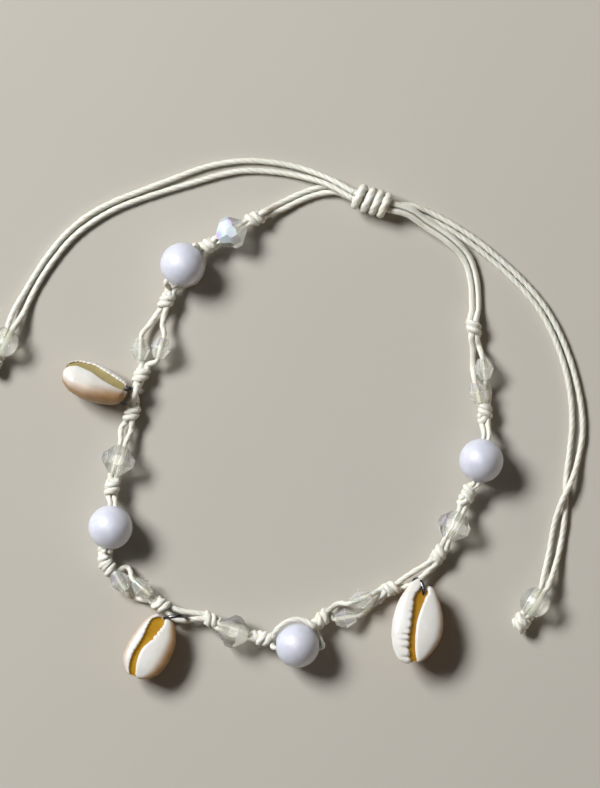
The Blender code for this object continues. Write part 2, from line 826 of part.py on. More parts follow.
def add_shell(number, shell, ring):
    turned = Matrix.Rotation(math.radians(shell.heading), 4, "Z")
    turned = turned @ Matrix.Rotation(math.radians(shell.roll), 4, "X")
    outside = shell_mesh(f"cowrie {number}", shell, 0.0, 0.0, SHELL_SIDES, SHELL_RINGS)
    lowest = min((turned @ vert.co).z for vert in outside.vertices)
    place = Matrix.Translation(Vector((shell.x, shell.y, -lowest))) @ turned
    cowrie = new_part(f"cowrie_{number}", outside, "shell", place)
    hollow = shell_mesh("hollow", shell, SHELL_WALL, SHELL_END_WALL, HOLLOW_SIDES, HOLLOW_RINGS)
    boolean(cowrie, new_tool(f"hollow {number}", hollow, place), "DIFFERENCE")
    boolean(cowrie, new_tool(f"aperture {number}", slot_mesh("aperture", shell), place), "DIFFERENCE")
    hole = torus_mesh("ring hole", RING_WIRE + 2 * CLEARANCE, WIRE_SIDES)
    boolean(cowrie, new_tool(f"ring hole {number}", hole, ring_place(ring)), "DIFFERENCE")
    wire = torus_mesh("jump ring", RING_WIRE, WIRE_SIDES)
    new_part(f"jump_ring_{number}", wire, "steel", ring_place(ring))


clear_scene()
parts = new_collection("beaded anklet")
tools = new_collection("cutters and joined shapes")
add_beads()
add_cord_loop()
add_sliding_knot()
right_end, left_end = END_BEADS
add_free_strand("free_right_a", right_end, -1, 1, FREE_RIGHT_A, -1)
add_free_strand("free_right_b", right_end, -1, -1, FREE_RIGHT_B, 1)
add_free_strand("free_left_a", left_end, 1, 1, FREE_LEFT_A, -1)
add_free_strand("free_left_b", left_end, 1, -1, FREE_LEFT_B, 1)
for free_end in END_BEADS:
    add_end(free_end)
for index, (one_shell, one_ring) in enumerate(zip(SHELLS, RINGS)):
    add_shell(index + 1, one_shell, one_ring)
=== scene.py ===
# %% [markdown]
# # Beaded anklet
#
# The anklet is a doubled, waxed cream cord, knotted between glossy white beads, clear faceted beads and pairs
# of small clear bicones. Three cowrie shells hang from it on dark jump rings, a sliding knot closes the loop,
# and each free end carries a clear round bead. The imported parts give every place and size. Each cell makes
# one piece or one finish for them.

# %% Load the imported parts
import json
import math
import random

import bpy
import numpy as np
from mathutils import Matrix, Vector

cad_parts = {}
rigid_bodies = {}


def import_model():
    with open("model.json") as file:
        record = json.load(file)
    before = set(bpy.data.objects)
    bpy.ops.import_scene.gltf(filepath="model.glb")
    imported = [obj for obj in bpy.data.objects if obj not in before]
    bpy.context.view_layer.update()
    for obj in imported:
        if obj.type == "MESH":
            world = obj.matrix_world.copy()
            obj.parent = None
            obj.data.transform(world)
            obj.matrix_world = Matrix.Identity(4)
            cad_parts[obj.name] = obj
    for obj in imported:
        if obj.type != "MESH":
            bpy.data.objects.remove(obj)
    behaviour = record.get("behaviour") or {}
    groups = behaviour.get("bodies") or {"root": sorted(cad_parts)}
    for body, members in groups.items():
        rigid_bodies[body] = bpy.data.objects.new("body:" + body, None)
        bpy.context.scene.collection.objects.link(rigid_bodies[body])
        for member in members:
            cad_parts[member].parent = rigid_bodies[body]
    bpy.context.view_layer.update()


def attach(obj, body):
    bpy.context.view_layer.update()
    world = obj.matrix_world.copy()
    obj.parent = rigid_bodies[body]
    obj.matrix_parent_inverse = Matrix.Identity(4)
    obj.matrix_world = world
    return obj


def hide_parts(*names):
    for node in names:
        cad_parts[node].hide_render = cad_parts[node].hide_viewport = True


MM = 0.001
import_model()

# %% [markdown]
# ## Camera
#
# The anklet was photographed from almost straight above. A helper could fit the view by itself, but here the
# picture's scale is known, so a long lens is chosen that shows the picture's height from the camera's
# distance. It keeps the beads at the edges as round as those in the middle.

# %% Place the camera
PICTURE_WIDTH = 600
PICTURE_HEIGHT = 788
PIXELS_PER_METRE = 5500
ORIGIN_IN_PICTURE = (283.8, 431.5)
CAMERA_DISTANCE = 1.2
CAMERA_ELEVATION = math.radians(89)

camera_data = bpy.data.cameras.new("camera")
camera = bpy.data.objects.new("camera", camera_data)
bpy.context.scene.collection.objects.link(camera)
bpy.context.scene.camera = camera
camera_data.lens = camera_data.sensor_width * CAMERA_DISTANCE * PIXELS_PER_METRE / PICTURE_HEIGHT
off_centre = (PICTURE_WIDTH / 2 - ORIGIN_IN_PICTURE[0], ORIGIN_IN_PICTURE[1] - PICTURE_HEIGHT / 2, 0.0)
target = Vector(off_centre) / PIXELS_PER_METRE
towards_camera = Vector((0.0, -math.cos(CAMERA_ELEVATION), math.sin(CAMERA_ELEVATION)))
camera.location = target + towards_camera * CAMERA_DISTANCE
camera.rotation_mode = "QUATERNION"
camera.rotation_quaternion = (-towards_camera).to_track_quat("-Z", "Y")
camera_data.clip_start = 0.05
camera_data.clip_end = 10.0
print("lens:", round(camera_data.lens, 1), "mm")

# %% [markdown]
# ## Small helpers
#
# An operator works on whatever is selected, so each step first drops the old selection and picks its own
# piece. A piece that is finished leaves its place in its mesh, with its object at the origin.


# %% Selecting, editing and finishing
def pick(piece):
    bpy.ops.object.select_all(action="DESELECT")
    piece.select_set(True)
    bpy.context.view_layer.objects.active = piece


def name_new(name):
    """The piece that an operator has just added, with its name."""
    piece = bpy.context.object
    piece.name = piece.data.name = name
    return piece


def start_editing(piece):
    """Opens a piece for editing, with all of it selected."""
    pick(piece)
    bpy.ops.object.mode_set(mode="EDIT")
    bpy.ops.mesh.select_all(action="SELECT")


def end_editing():
    """Turns all faces outward and closes the piece."""
    bpy.ops.mesh.select_all(action="SELECT")
    bpy.ops.mesh.normals_make_consistent(inside=False)
    bpy.ops.object.mode_set(mode="OBJECT")


def apply_all(piece):
    pick(piece)
    for modifier in list(piece.modifiers):
        bpy.ops.object.modifier_apply(modifier=modifier.name)


def copy_to(pattern, name, place):
    """A copy of a finished pattern, with a mesh of its own that holds its place."""
    piece = bpy.data.objects.new(name, pattern.data.copy())
    piece.data.name = name
    piece.data.transform(place)
    bpy.context.scene.collection.objects.link(piece)
    return piece


def dress(piece, material, slot, *nodes):
    """Gives a piece its finish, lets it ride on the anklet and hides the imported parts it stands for."""
    piece.data.materials.clear()
    piece.data.materials.append(material)
    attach(piece, "root")
    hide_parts(*nodes)


# %% [markdown]
# ## Shader sums
#
# The finishes are procedural. Wiring Math nodes by hand is slow to read, so a small class wraps a socket:
# `1 - mask * 0.5` then adds its own Math nodes, and one method adds any other node.


# %% Wrap a socket
class Wire:
    """A shader socket that takes part in sums."""

    def __init__(self, tree, socket):
        self.tree = tree
        self.socket = socket

    def node(self, kind, settings=None, inputs=None, output=0):
        """Adds a node: its settings are made first, and then its sockets get their values or links."""
        made = self.tree.nodes.new(kind)
        for name, value in (settings or {}).items():
            if name == "stops":
                while len(made.color_ramp.elements) < len(value):
                    made.color_ramp.elements.new(1.0)
                for element, (place, shade) in zip(made.color_ramp.elements, value):
                    element.position = place
                    element.color = (*shade, 1.0)
            else:
                setattr(made, name, value)
        for name, value in (inputs or {}).items():
            if isinstance(value, Wire):
                self.tree.links.new(value.socket, made.inputs[name])
            else:
                made.inputs[name].default_value = value
        return Wire(self.tree, made.outputs[output])

    def maths(self, operation, *values):
        return self.node("ShaderNodeMath", {"operation": operation}, dict(enumerate(values)))

    def __add__(self, other):
        return self.maths("ADD", self, other)

    def __mul__(self, other):
        return self.maths("MULTIPLY", self, other)

    def __rsub__(self, other):
        return self.maths("SUBTRACT", other, self)

    __radd__ = __add__
    __rmul__ = __mul__

    def noise(self, size, detail=2.0, roughness=0.5):
        """Noise from 0 to 1 whose marks are about a size across, in metres."""
        inputs = {"Vector": self, "Scale": 1 / size, "Detail": detail, "Roughness": roughness}
        return self.node("ShaderNodeTexNoise", {"noise_dimensions": "3D"}, inputs)

    def between(self, low, high):
        """0 below low, 1 above high, and smooth between them."""
        inputs = {"Value": self, "From Min": low, "From Max": high}
        return self.node("ShaderNodeMapRange", {"interpolation_type": "SMOOTHSTEP"}, inputs)

    def mix(self, first, second):
        """The first colour where this is 0 and the second where it is 1."""
        colours = [v if isinstance(v, Wire) else (*v, 1.0) for v in (first, second)]
        inputs = {0: self, 6: colours[0], 7: colours[1]}
        return self.node("ShaderNodeMix", {"data_type": "RGBA"}, inputs, output=2)

    def bump(self, depth, strength):
        return self.node("ShaderNodeBump", {}, {"Height": self, "Distance": depth, "Strength": strength})

    def feed(self, shader, name):
        self.tree.links.new(self.socket, shader.inputs[name])


class Finish:
    """A material's Principled shader, with the wires that its patterns start from."""

    def __init__(self, name, **values):
        self.material = bpy.data.materials.new(name)
        self.material.use_nodes = True
        self.tree = self.material.node_tree
        self.shader = self.tree.nodes["Principled BSDF"]
        for socket, value in values.items():
            self.shader.inputs[socket.replace("_", " ")].default_value = value
        coordinates = self.tree.nodes.new("ShaderNodeTexCoord")
        self.place = Wire(self.tree, coordinates.outputs["Object"])

    def attribute(self, name, output=2):
        return self.place.node("ShaderNodeAttribute", {"attribute_name": name}, output=output)


print("wires ready")

# %% [markdown]
# ## Route of the cord
#
# The cord runs from the sliding knot down the left side, round the front and back. Each station says what is
# there, its x, y and height in millimetres, and the way the cord runs there in degrees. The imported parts
# follow the same stations, so beads and cord meet where they should.

# %% Stations and sizes
CLEARANCE = 0.25
STRAND = 1.0
STRAND_GAP = 0.15
FULL = 1.09
SQUEEZED = 0.8
SQUEEZED_GAP = 0.1
KNOT_WIDTH = 2.9
KNOT_LENGTH = 3.1
WHITE_WIDTH = 8.0
FACETED_WIDTH = 6.0
FACETED_LENGTH = 5.4
FACETED_SIDES = 10
BICONE_WIDTH = 3.7
BICONE_LENGTH = 3.8
BICONE_END = 1.9
BICONE_SIDES = 8
END_BEAD_WIDTH = 5.5
RING_WIDTH = 4.6
RING_WIRE = 0.7
SLIDE_LENGTH = 6.8
SLIDE_PLACE = (16.0, 41.8)
SLIDE_HEADING = -17.0
ROUTE = [
    ("cord", 9.8, 44.0, 1.3, 172), ("cord", 6.6, 43.8, 0.7, 190),
    ("cord", 3.0, 42.6, 0.6, 205), ("cord", -0.9, 40.7, 0.9, 206),
    ("knot", -4.9, 38.8, 2.1, 207), ("faceted", -9.5, 36.1, 2.9, 210),
    ("knot", -13.5, 33.8, 2.7, 214), ("white_inner_under", -18.4, 30.2, 4.0, 232),
    ("knot", -21.1, 24.1, 2.1, 248), ("outer", -24.2, 19.6, 1.2, 240),
    ("bicone_outer", -26.0, 14.9, 1.9, 268), ("inner", -22.0, 19.4, 2.6, 266),
    ("bicone_inner", -22.3, 15.1, 3.2, 254), ("knot", -25.8, 10.5, 1.8, 252),
    ("ring_over", -26.5, 7.4, 1.6, 258), ("knot", -27.5, 3.7, 1.8, 256),
    ("wide", -28.6, 0.4, 1.8, 255), ("faceted", -30.0, -5.2, 2.9, 255),
    ("knot", -31.1, -9.8, 2.6, 263), ("white", -31.4, -17.4, 4.0, 264),
    ("knot", -32.4, -22.8, 1.6, 275), ("knot", -32.0, -24.1, 1.6, 300),
    ("bicone_outer", -29.7, -27.2, 2.2, 302), ("outer", -27.2, -30.2, 0.6, 325),
    ("inner", -28.3, -24.8, 0.8, 320), ("bicone_inner", -25.7, -28.4, 2.7, 318),
    ("knot", -22.6, -31.3, 1.7, 330), ("ring", -18.8, -33.46, 1.7, 338),
    ("knot", -13.5, -34.1, 2.0, 342), ("faceted", -9.1, -36.3, 2.9, 341),
    ("knot", -3.9, -37.5, 2.6, 348), ("white_inner_over", 2.5, -38.8, 4.0, 0),
    ("knot", 6.8, -34.1, 2.0, 40), ("bicone_outer", 11.2, -33.9, 1.9, 8),
    ("outer", 15.0, -32.7, 0.6, 25), ("inner", 10.0, -31.3, 1.0, 25),
    ("bicone_inner", 14.0, -30.4, 2.8, 22), ("knot", 19.1, -28.7, 1.7, 24),
    ("ring", 22.9, -27.0, 2.0, 34), ("knot", 27.9, -22.7, 2.0, 52),
    ("faceted", 30.9, -17.1, 2.9, 64), ("knot", 33.2, -11.8, 2.6, 68),
    ("white", 35.8, -5.3, 4.0, 78), ("knot", 36.5, 3.3, 2.0, 90),
    ("bicone_inner", 35.2, 7.0, 2.6, 104), ("inner", 34.4, 11.4, 0.7, 92),
    ("outer", 37.3, 7.5, 0.8, 90), ("bicone_outer", 36.3, 11.3, 2.6, 98),
    ("cord", 34.9, 15.4, 1.2, 94), ("knot", 34.5, 18.7, 1.7, 92),
    ("cord", 34.8, 22.5, 0.7, 90), ("cord", 34.5, 27.5, 0.7, 96),
    ("cord", 33.1, 31.7, 0.9, 115), ("cord", 30.0, 34.9, 1.6, 140),
    ("cord", 26.0, 37.6, 1.9, 147), ("cord", 22.9, 39.7, 2.7, 150),
]
print("stations:", len(ROUTE))


# %% Directions and places along the cord
UP = Vector((0.0, 0.0, 1.0))
APART = STRAND + STRAND_GAP
APART_IN_BORE = STRAND * SQUEEZED + SQUEEZED_GAP
BORE_FOR_ONE = STRAND * SQUEEZED / 2 + CLEARANCE
BORE_FOR_TWO = APART_IN_BORE / 2 + BORE_FOR_ONE
HALF_SPREADS = {"cord": APART / 2, "wide": APART / 2 + STRAND / 3, "ring": (RING_WIRE + STRAND * FULL) / 2}


def ahead(heading):
    turned = math.radians(heading)
    return Vector((math.cos(turned), math.sin(turned), 0.0))


def across(heading):
    """The way to the inside of the loop from a cord that runs this way."""
    return ahead(heading + 90)


def station_middle(kind, x, y, z):
    """A white or faceted bead rests on the ground, and anything else has its own height."""
    if kind.startswith("white"):
        z = WHITE_WIDTH / 2
    if kind == "faceted":
        z = FACETED_WIDTH / 2 * math.cos(math.pi / FACETED_SIDES)
    return Vector((x, y, z))


def round_half_length(width):
    """Half of the length that a round bead has left between its mouths."""
    return math.sqrt((width / 2) ** 2 - BORE_FOR_TWO**2)


def slide_point(end, row, lane, beyond):
    """A strand's middle in the sliding knot: end and lane are -1 or 1, and row is -1 below or 1 above."""
    middle = Vector((*SLIDE_PLACE, math.hypot(APART, APART) / 2 + STRAND * 1.5 + CLEARANCE))
    along = ahead(SLIDE_HEADING) * end * (SLIDE_LENGTH / 2 + beyond)
    return middle + along + (across(SLIDE_HEADING) * lane + UP * row) * APART / 2


print("sliding knot's middle:", slide_point(0, 0, 0, 0).xy)

# %% [markdown]
# ## Guide points of a strand
#
# A strand is guided by few points, and a smooth curve through them gives the many points of its mesh. Each
# guide point also has a share of the strand's thickness, because a strand is squeezed inside a bead.


# %% A strand's guide points
class Strand:
    """Guide points, each with its share of the thickness, and whether it is straight to the next."""

    def __init__(self):
        self.points = []
        self.shares = []
        self.straight = []

    def add(self, point, share=1.0, straight=False):
        self.points.append(Vector(point))
        self.shares.append(share)
        self.straight.append(straight)

    def direction(self, i):
        last = len(self.points) - 1
        if self.straight[i] and i < last:
            return (self.points[i + 1] - self.points[i]).normalized()
        if i > 0 and self.straight[i - 1]:
            return (self.points[i] - self.points[i - 1]).normalized()
        return (self.points[min(i + 1, last)] - self.points[max(i - 1, 0)]).normalized()

    def smooth(self, step):
        """Points about a step apart on a smooth curve through the guide points, with their shares."""
        line = [(self.points[0], self.shares[0])]
        for i, (start, end) in enumerate(zip(self.points, self.points[1:])):
            run = (end - start).length
            pieces = max(1, round(run / step))
            leave = self.direction(i) * run
            arrive = self.direction(i + 1) * run
            for k in range(1, pieces + 1):
                t = k / pieces
                point = start * (2 * t**3 - 3 * t**2 + 1) + leave * (t**3 - 2 * t**2 + t)
                point += end * (3 * t**2 - 2 * t**3) + arrive * (t**3 - t**2)
                line.append((point, self.shares[i] * (1 - t) + self.shares[i + 1] * t))
        return line


def add_bore(strand, middle, heading, half_length, offset=0.0):
    """A straight run through a bead, from just outside one mouth to just outside the other."""
    middle = middle + across(heading) * offset
    reach = ahead(heading) * (half_length + CLEARANCE)
    strand.add(middle - reach, SQUEEZED, straight=True)
    strand.add(middle + reach, SQUEEZED)


def add_round_bead(strand, middle, heading, angles, height):
    """A strand laid round the outside of a bead, on the inner side of the loop."""
    out = (WHITE_WIDTH + STRAND) / 2 + CLEARANCE
    level = math.sqrt(out**2 - height**2)
    for angle in angles:
        strand.add(middle + ahead(heading + 90 - angle) * level + UP * height)


print("a strand is", STRAND, "mm thick")

# %% [markdown]
# ## Overhand knots
#
# Between beads, both strands are tied in one overhand knot. A bead-like lump would do from far away, but the
# real knot shows slanting ridges where the doubled cord goes once round itself. So the strands follow the
# knot's real way: through the middle, out, once round, and back in under the wrap. Each row gives a place
# along the knot, a distance from its axis, an angle round it, and how far the two strands lie one after the
# other, at 1, and not side by side, at 0. A seeded turn makes each knot a little different.

# %% The way through a knot
KNOT_WAY = [
    (-0.95, 0.10, 250, 0.0), (-0.30, 0.32, 265, 0.2), (0.45, 0.55, 290, 0.6), (0.72, 0.85, 325, 0.9),
    (0.66, 1.00, 365, 1.0), (0.52, 1.03, 410, 1.0), (0.34, 1.03, 455, 1.0), (0.16, 1.03, 500, 1.0),
    (-0.02, 1.03, 545, 1.0), (-0.20, 1.03, 590, 1.0), (-0.40, 1.02, 635, 1.0), (-0.58, 0.98, 675, 1.0),
    (-0.68, 0.75, 710, 0.8), (-0.40, 0.42, 735, 0.4), (0.30, 0.28, 750, 0.2), (0.95, 0.10, 765, 0.0),
]
KNOT_STRAND = 1.12
NECK = 0.55
knot_chance = random.Random(7)


def knot_look():
    """A knot's own turn, the hand it is tied with, its size, and how the strands lie before and after it."""
    turned = knot_chance.uniform(-50, 50)
    hand = knot_chance.choice((-1, 1))
    size = knot_chance.uniform(0.94, 1.0)
    return turned, hand, size, knot_chance.uniform(-55, 55), knot_chance.uniform(-55, 55)


def beside_at(heading, lane, turn):
    """Where a strand lies beside the other one, when the pair is turned about the cord's middle line."""
    turn = math.radians(turn)
    return (across(heading) * math.cos(turn) + UP * math.sin(turn)) * lane * NECK


def add_knot(strand, middle, heading, lane, look, share=KNOT_STRAND, length=KNOT_LENGTH):
    turned, hand, size, turn_before, turn_after = look
    wrap = (KNOT_WIDTH * size - STRAND * share) / 2
    for along, out, angle, stacked in KNOT_WAY:
        radians = math.radians(angle + turned)
        wound = across(heading) * math.cos(radians) * hand + UP * math.sin(radians)
        turn = turn_before + (turn_after - turn_before) * (along + 1) / 2
        beside = beside_at(heading, lane, turn) * (1 - stacked)
        beside += ahead(heading) * lane * hand * NECK * stacked
        strand.add(middle + ahead(heading) * along * length / 2 * size + wound * out * wrap + beside, share)


knot_looks = {i: knot_look() for i, row in enumerate(ROUTE) if row[0] == "knot"}
print("knots:", len(knot_looks))

# %% [markdown]
# ## The two strands of the loop
#
# Both strands start in the sliding knot, go once round the loop and pass through it again. A white or faceted
# bead takes both strands in its hole, a bicone takes one, and two of the white beads have a strand laid round
# their outside.

# %% Guide both strands round the loop
UNDER_ANGLES = (-35, 10, 50)
UNDER_HEIGHT = -3.0
OVER_ANGLES = (-52, -20, 12, 42)
OVER_HEIGHT = 0.8
RING_OVER = {1: Vector((-0.3, 0.0, 2.3)), -1: Vector((-0.75, 0.0, 0.3))}
KNOT_LEAD = 0.6


def add_station(strand, lane, index):
    """Lane 1 is the inner strand and -1 the outer one."""
    kind, x, y, z, heading = ROUTE[index]
    middle = station_middle(kind, x, y, z)
    side = "inner" if lane > 0 else "outer"
    if kind == "knot":
        look = knot_looks[index]
        lead = ahead(heading) * KNOT_LENGTH * KNOT_LEAD
        strand.add(middle + beside_at(heading, lane, look[3]) - lead)
        add_knot(strand, middle, heading, lane, look)
        strand.add(middle + beside_at(heading, lane, look[4]) + lead)
    elif kind in HALF_SPREADS:
        strand.add(middle + across(heading) * lane * HALF_SPREADS[kind])
    elif kind == "ring_over":
        strand.add(middle + RING_OVER[lane])
    elif kind in ("inner", "outer"):
        if kind == side:
            strand.add(middle)
    elif kind.startswith("bicone"):
        if kind.endswith(side):
            add_bore(strand, middle, heading, BICONE_LENGTH / 2)
    elif kind == "white_inner_under" and lane > 0:
        add_round_bead(strand, middle, heading, UNDER_ANGLES, UNDER_HEIGHT)
    elif kind == "white_inner_over" and lane > 0:
        add_round_bead(strand, middle, heading, OVER_ANGLES, OVER_HEIGHT)
    else:
        half_length = FACETED_LENGTH / 2
        if kind.startswith("white"):
            half_length = round_half_length(WHITE_WIDTH)
        add_bore(strand, middle, heading, half_length, lane * APART_IN_BORE / 2)


loop_strands = {}
for name, lane in (("inner", 1), ("outer", -1)):
    strand = loop_strands[name] = Strand()
    strand.add(slide_point(1, -1, -lane, CLEARANCE), straight=True)
    strand.add(slide_point(-1, -1, -lane, CLEARANCE))
    for index in range(len(ROUTE)):
        add_station(strand, lane, index)
    strand.add(slide_point(1, 1, -lane, CLEARANCE), straight=True)
    strand.add(slide_point(-1, 1, -lane, CLEARANCE))
print("guide points:", {name: len(strand.points) for name, strand in loop_strands.items()})

# %% [markdown]
# ## Twisted strands
#
# A strand is three plies twisted together. A round bevel would look like plastic wire, and three curves wound
# round each other would hide most of their faces inside. So the curve takes a cross-section with three lobes,
# and its tilt grows along the curve, which winds the lobes as a twist does. The mesh then remembers how deep
# each point lies, so the finish can paint shade into the grooves.

# %% Sweep a three-lobed section
PLIES = 3
SECTION_SIDES = 15
GROOVE_DEPTH = 0.12
TWIST_LENGTH = 5.2
STRAND_STEP = 0.3
FIBRE_STRETCH = 0.12
MERGE_WITHIN = 0.002


def lobe_height(i):
    """How far a point of the cross-section stands out, from 0 in a groove to 1 on a ply."""
    return 1 - (1 - abs(math.sin(math.pi * i / SECTION_SIDES * PLIES))) ** 1.6


def add_section():
    """The strand's cross-section, as a closed curve 1 mm across."""
    bpy.ops.curve.primitive_bezier_circle_add()
    section = name_new("strand section")
    section.data.splines.clear()
    spline = section.data.splines.new("POLY")
    spline.points.add(SECTION_SIDES - 1)
    spline.use_cyclic_u = True
    for i, point in enumerate(spline.points):
        angle = math.tau * i / SECTION_SIDES
        radius = STRAND / 2 * MM * (1 - GROOVE_DEPTH * (1 - lobe_height(i)))
        point.co = (radius * math.cos(angle), radius * math.sin(angle), 0.0, 1.0)
    return section


def add_strand(name, line, section, thickness=FULL, seed=0):
    """A twisted strand along a line of points in millimetres."""
    bpy.ops.curve.primitive_nurbs_path_add()
    strand = name_new(name)
    curve = strand.data
    curve.splines.clear()
    curve.resolution_u = 1
    curve.bevel_mode = "OBJECT"
    curve.bevel_object = section
    curve.use_fill_caps = True
    curve.twist_mode = "MINIMUM"
    spline = curve.splines.new("POLY")
    spline.points.add(len(line) - 1)
    phase = random.Random(seed).uniform(0, math.tau)  # no two strands are uneven in the same way
    travelled = [0.0]
    for (before, _), (point, _) in zip(line, line[1:]):
        travelled.append(travelled[-1] + (point - before).length)
    for spline_point, (point, share), run in zip(spline.points, line, travelled):
        uneven = 1 + 0.03 * math.sin(run * 1.7 + phase) + 0.02 * math.sin(run * 4.1 + 2 * phase)
        spline_point.co = (*(point * MM), 1.0)
        spline_point.radius = share * thickness * uneven
        spline_point.tilt = math.tau * run / TWIST_LENGTH + 0.35 * math.sin(run * 0.9 + phase)
    pick(strand)
    bpy.ops.object.convert(target="MESH")
    strand = bpy.context.object
    mark_plies(strand, travelled)
    start_editing(strand)
    bpy.ops.mesh.remove_doubles(threshold=MERGE_WITHIN * MM)
    end_editing()
    bpy.ops.object.shade_smooth_by_angle(angle=math.radians(60))
    return strand


def mark_plies(strand, travelled):
    """Stores each point's groove depth, and its place round and along the strand for the fibres."""
    groove = strand.data.attributes.new("groove", "FLOAT", "POINT")
    fibre = strand.data.attributes.new("fibre", "FLOAT_VECTOR", "POINT")
    for vert in strand.data.vertices:
        i = vert.index % SECTION_SIDES
        run = travelled[min(vert.index // SECTION_SIDES, len(travelled) - 1)]
        angle = math.tau * i / SECTION_SIDES
        groove.data[vert.index].value = 1 - lobe_height(i)
        fibre.data[vert.index].vector = (math.cos(angle), math.sin(angle), run * FIBRE_STRETCH)


section = add_section()
strand_pieces = {}
loop_lines = {name: strand.smooth(STRAND_STEP) for name, strand in loop_strands.items()}
for number, (name, line) in enumerate(loop_lines.items()):
    strand_pieces[name] = add_strand(f"{name}_strand", line, section, seed=number)
    print(name, "strand:", len(strand_pieces[name].data.polygons), "faces")

# %% [markdown]
# ## Cord finish
#
# Waxed cotton is cream and matt, with pale fibres along the plies. Painted shade makes it a little darker
# and yellower in the grooves. Two noises, one at the scale of fibres, give the colour and a shallow bump.

# %% Waxed cotton
cotton = Finish(
    "waxed cotton", Subsurface_Weight=0.3, Subsurface_Scale=0.0006, Subsurface_Radius=(1.0, 0.8, 0.55),
)
fibres = cotton.attribute("fibre", output=1).noise(0.22, detail=4.0, roughness=0.6)
patches = cotton.place.noise(4.0 * MM)
cream = patches.between(0.3, 0.7).mix((0.83, 0.84, 0.78), (0.79, 0.78, 0.70))
fibrous = fibres.between(0.3, 0.6).mix((0.70, 0.68, 0.58), cream)
# Painted shade: the grooves are mixed towards a darker, yellower cream.
groove_painted_shade = cotton.attribute("groove") * 0.5
groove_painted_shade.mix(fibrous, (0.54, 0.49, 0.38)).feed(cotton.shader, "Base Color")
(0.45 + 0.25 * fibres).feed(cotton.shader, "Roughness")
fibres.bump(0.05 * MM, 0.6).feed(cotton.shader, "Normal")
for name, piece in strand_pieces.items():
    dress(piece, cotton.material, "cord", "cord_loop")
print("cord finish:", cotton.material.name)

# %% [markdown]
# ## Sliding knot
#
# Four thick wraps go round all four strands, with a gap after the first one. They are one strand wound as a
# coil. A stack of rings would have no slant, so a single curve follows a helix whose turns are spaced as in
# the knot, and its ends dive in under the wraps.

# %% Wind the sliding knot
WRAP_TOPS = (2.45, 0.92, -0.62, -2.5)
WRAP_THICKNESS = 1.55
WRAP_REACH = 2.7
COIL_STEPS = 12
TAIL_STEPS = 4
TAIL_DIVE = 1.1
wrap_radius = slide_point(0, 0, 0, 0).z - WRAP_THICKNESS / 2


def slide_coil():
    """The wraps' line: from the right end over the top, once round for each wrap."""
    coil = Strand()
    gaps = len(WRAP_TOPS) - 1
    for k in range(-TAIL_STEPS, gaps * COIL_STEPS + TAIL_STEPS + 1):
        turn = k / COIL_STEPS
        low = max(0, min(gaps - 1, math.floor(turn)))
        part = turn - low
        along = WRAP_TOPS[low] * (1 - part) + WRAP_TOPS[low + 1] * part
        angle = math.pi / 2 + math.tau * turn
        beyond = max(0.0, -turn, turn - gaps)
        radius = wrap_radius * (1 - TAIL_DIVE * beyond**2)
        wound = across(SLIDE_HEADING) * math.cos(angle) + UP * math.sin(angle)
        place = slide_point(0, 0, 0, 0) + ahead(SLIDE_HEADING) * max(-WRAP_REACH, min(WRAP_REACH, along))
        coil.add(place + wound * radius)
    return coil.smooth(STRAND_STEP)


wraps = add_strand("sliding_knot_wraps", slide_coil(), section, thickness=WRAP_THICKNESS, seed=5)
dress(wraps, cotton.material, "cord", "sliding_knot")
print("sliding knot:", len(wraps.data.polygons), "faces")

# %% [markdown]
# ## Free ends
#
# The strands that come out of the sliding knot lie loose, cross once, and end in a clear bead and a knot. No
# other cord is free. Their real length is what the photograph shows from end to end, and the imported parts
# hold the same points. A point without a height lies on the ground.

# %% Guide points of the free ends
ON_GROUND = 0.57
FREE_POINTS = {
    "free_right_a": [
        (23.3, 41.0, 1.2), (26.3, 40.0, 0.6), (30.3, 37.9), (33.9, 35.6), (37.2, 33.1), (43.0, 27.9),
        (47.3, 22.9), (50.0, 18.2), (52.0, 13.2), (53.2, 9.0), (54.1, 4.3), (54.3, -0.3), (53.5, -5.0, 0.7),
        (52.3, -8.9, 1.5), (51.0, -11.6, 1.8), (49.9, -14.2, 1.3), (49.0, -17.5, 0.6), (48.2, -22.0, 0.6),
        (47.3, -25.8, 1.5),
    ],
    "free_right_b": [
        (22.9, 39.9, 1.2), (25.7, 38.9, 0.6), (29.7, 36.9), (33.3, 34.6), (36.6, 32.1), (42.2, 27.1),
        (46.3, 22.3), (48.9, 17.6), (50.9, 12.2), (52.0, 7.2), (52.4, 1.7), (51.9, -3.9), (51.3, -8.5),
        (51.2, -12.0), (51.0, -16.0), (50.3, -20.6, 0.6), (49.0, -25.4, 1.5),
    ],
    "free_left_a": [
        (8.3, 45.9, 2.0), (2.9, 47.9, 0.8), (-2.0, 48.9), (-7.1, 49.2), (-11.5, 48.7), (-15.4, 47.7),
        (-21.0, 45.6), (-26.3, 43.6), (-31.3, 41.6), (-35.8, 39.1), (-39.6, 35.9), (-42.8, 32.1),
        (-45.2, 28.5), (-47.3, 25.0, 0.7), (-49.0, 22.0, 1.3),
    ],
    "free_left_b": [
        (7.7, 44.9, 2.2), (2.9, 46.4, 1.0), (-2.0, 47.2, 0.6), (-7.1, 47.4), (-11.3, 46.7), (-15.2, 45.6),
        (-20.6, 44.0), (-25.9, 42.3), (-30.7, 40.4), (-35.0, 37.9), (-38.7, 34.9), (-41.7, 31.3),
        (-44.1, 27.8), (-46.0, 24.3, 0.6), (-47.4, 21.3, 1.3),
    ],
}
END_BEADS = {
    "right": (Vector((45.5, -31.0, END_BEAD_WIDTH / 2)), 237),
    "left": (Vector((-50.9, 16.2, END_BEAD_WIDTH / 2)), 244),
}
print("free strands:", len(FREE_POINTS))


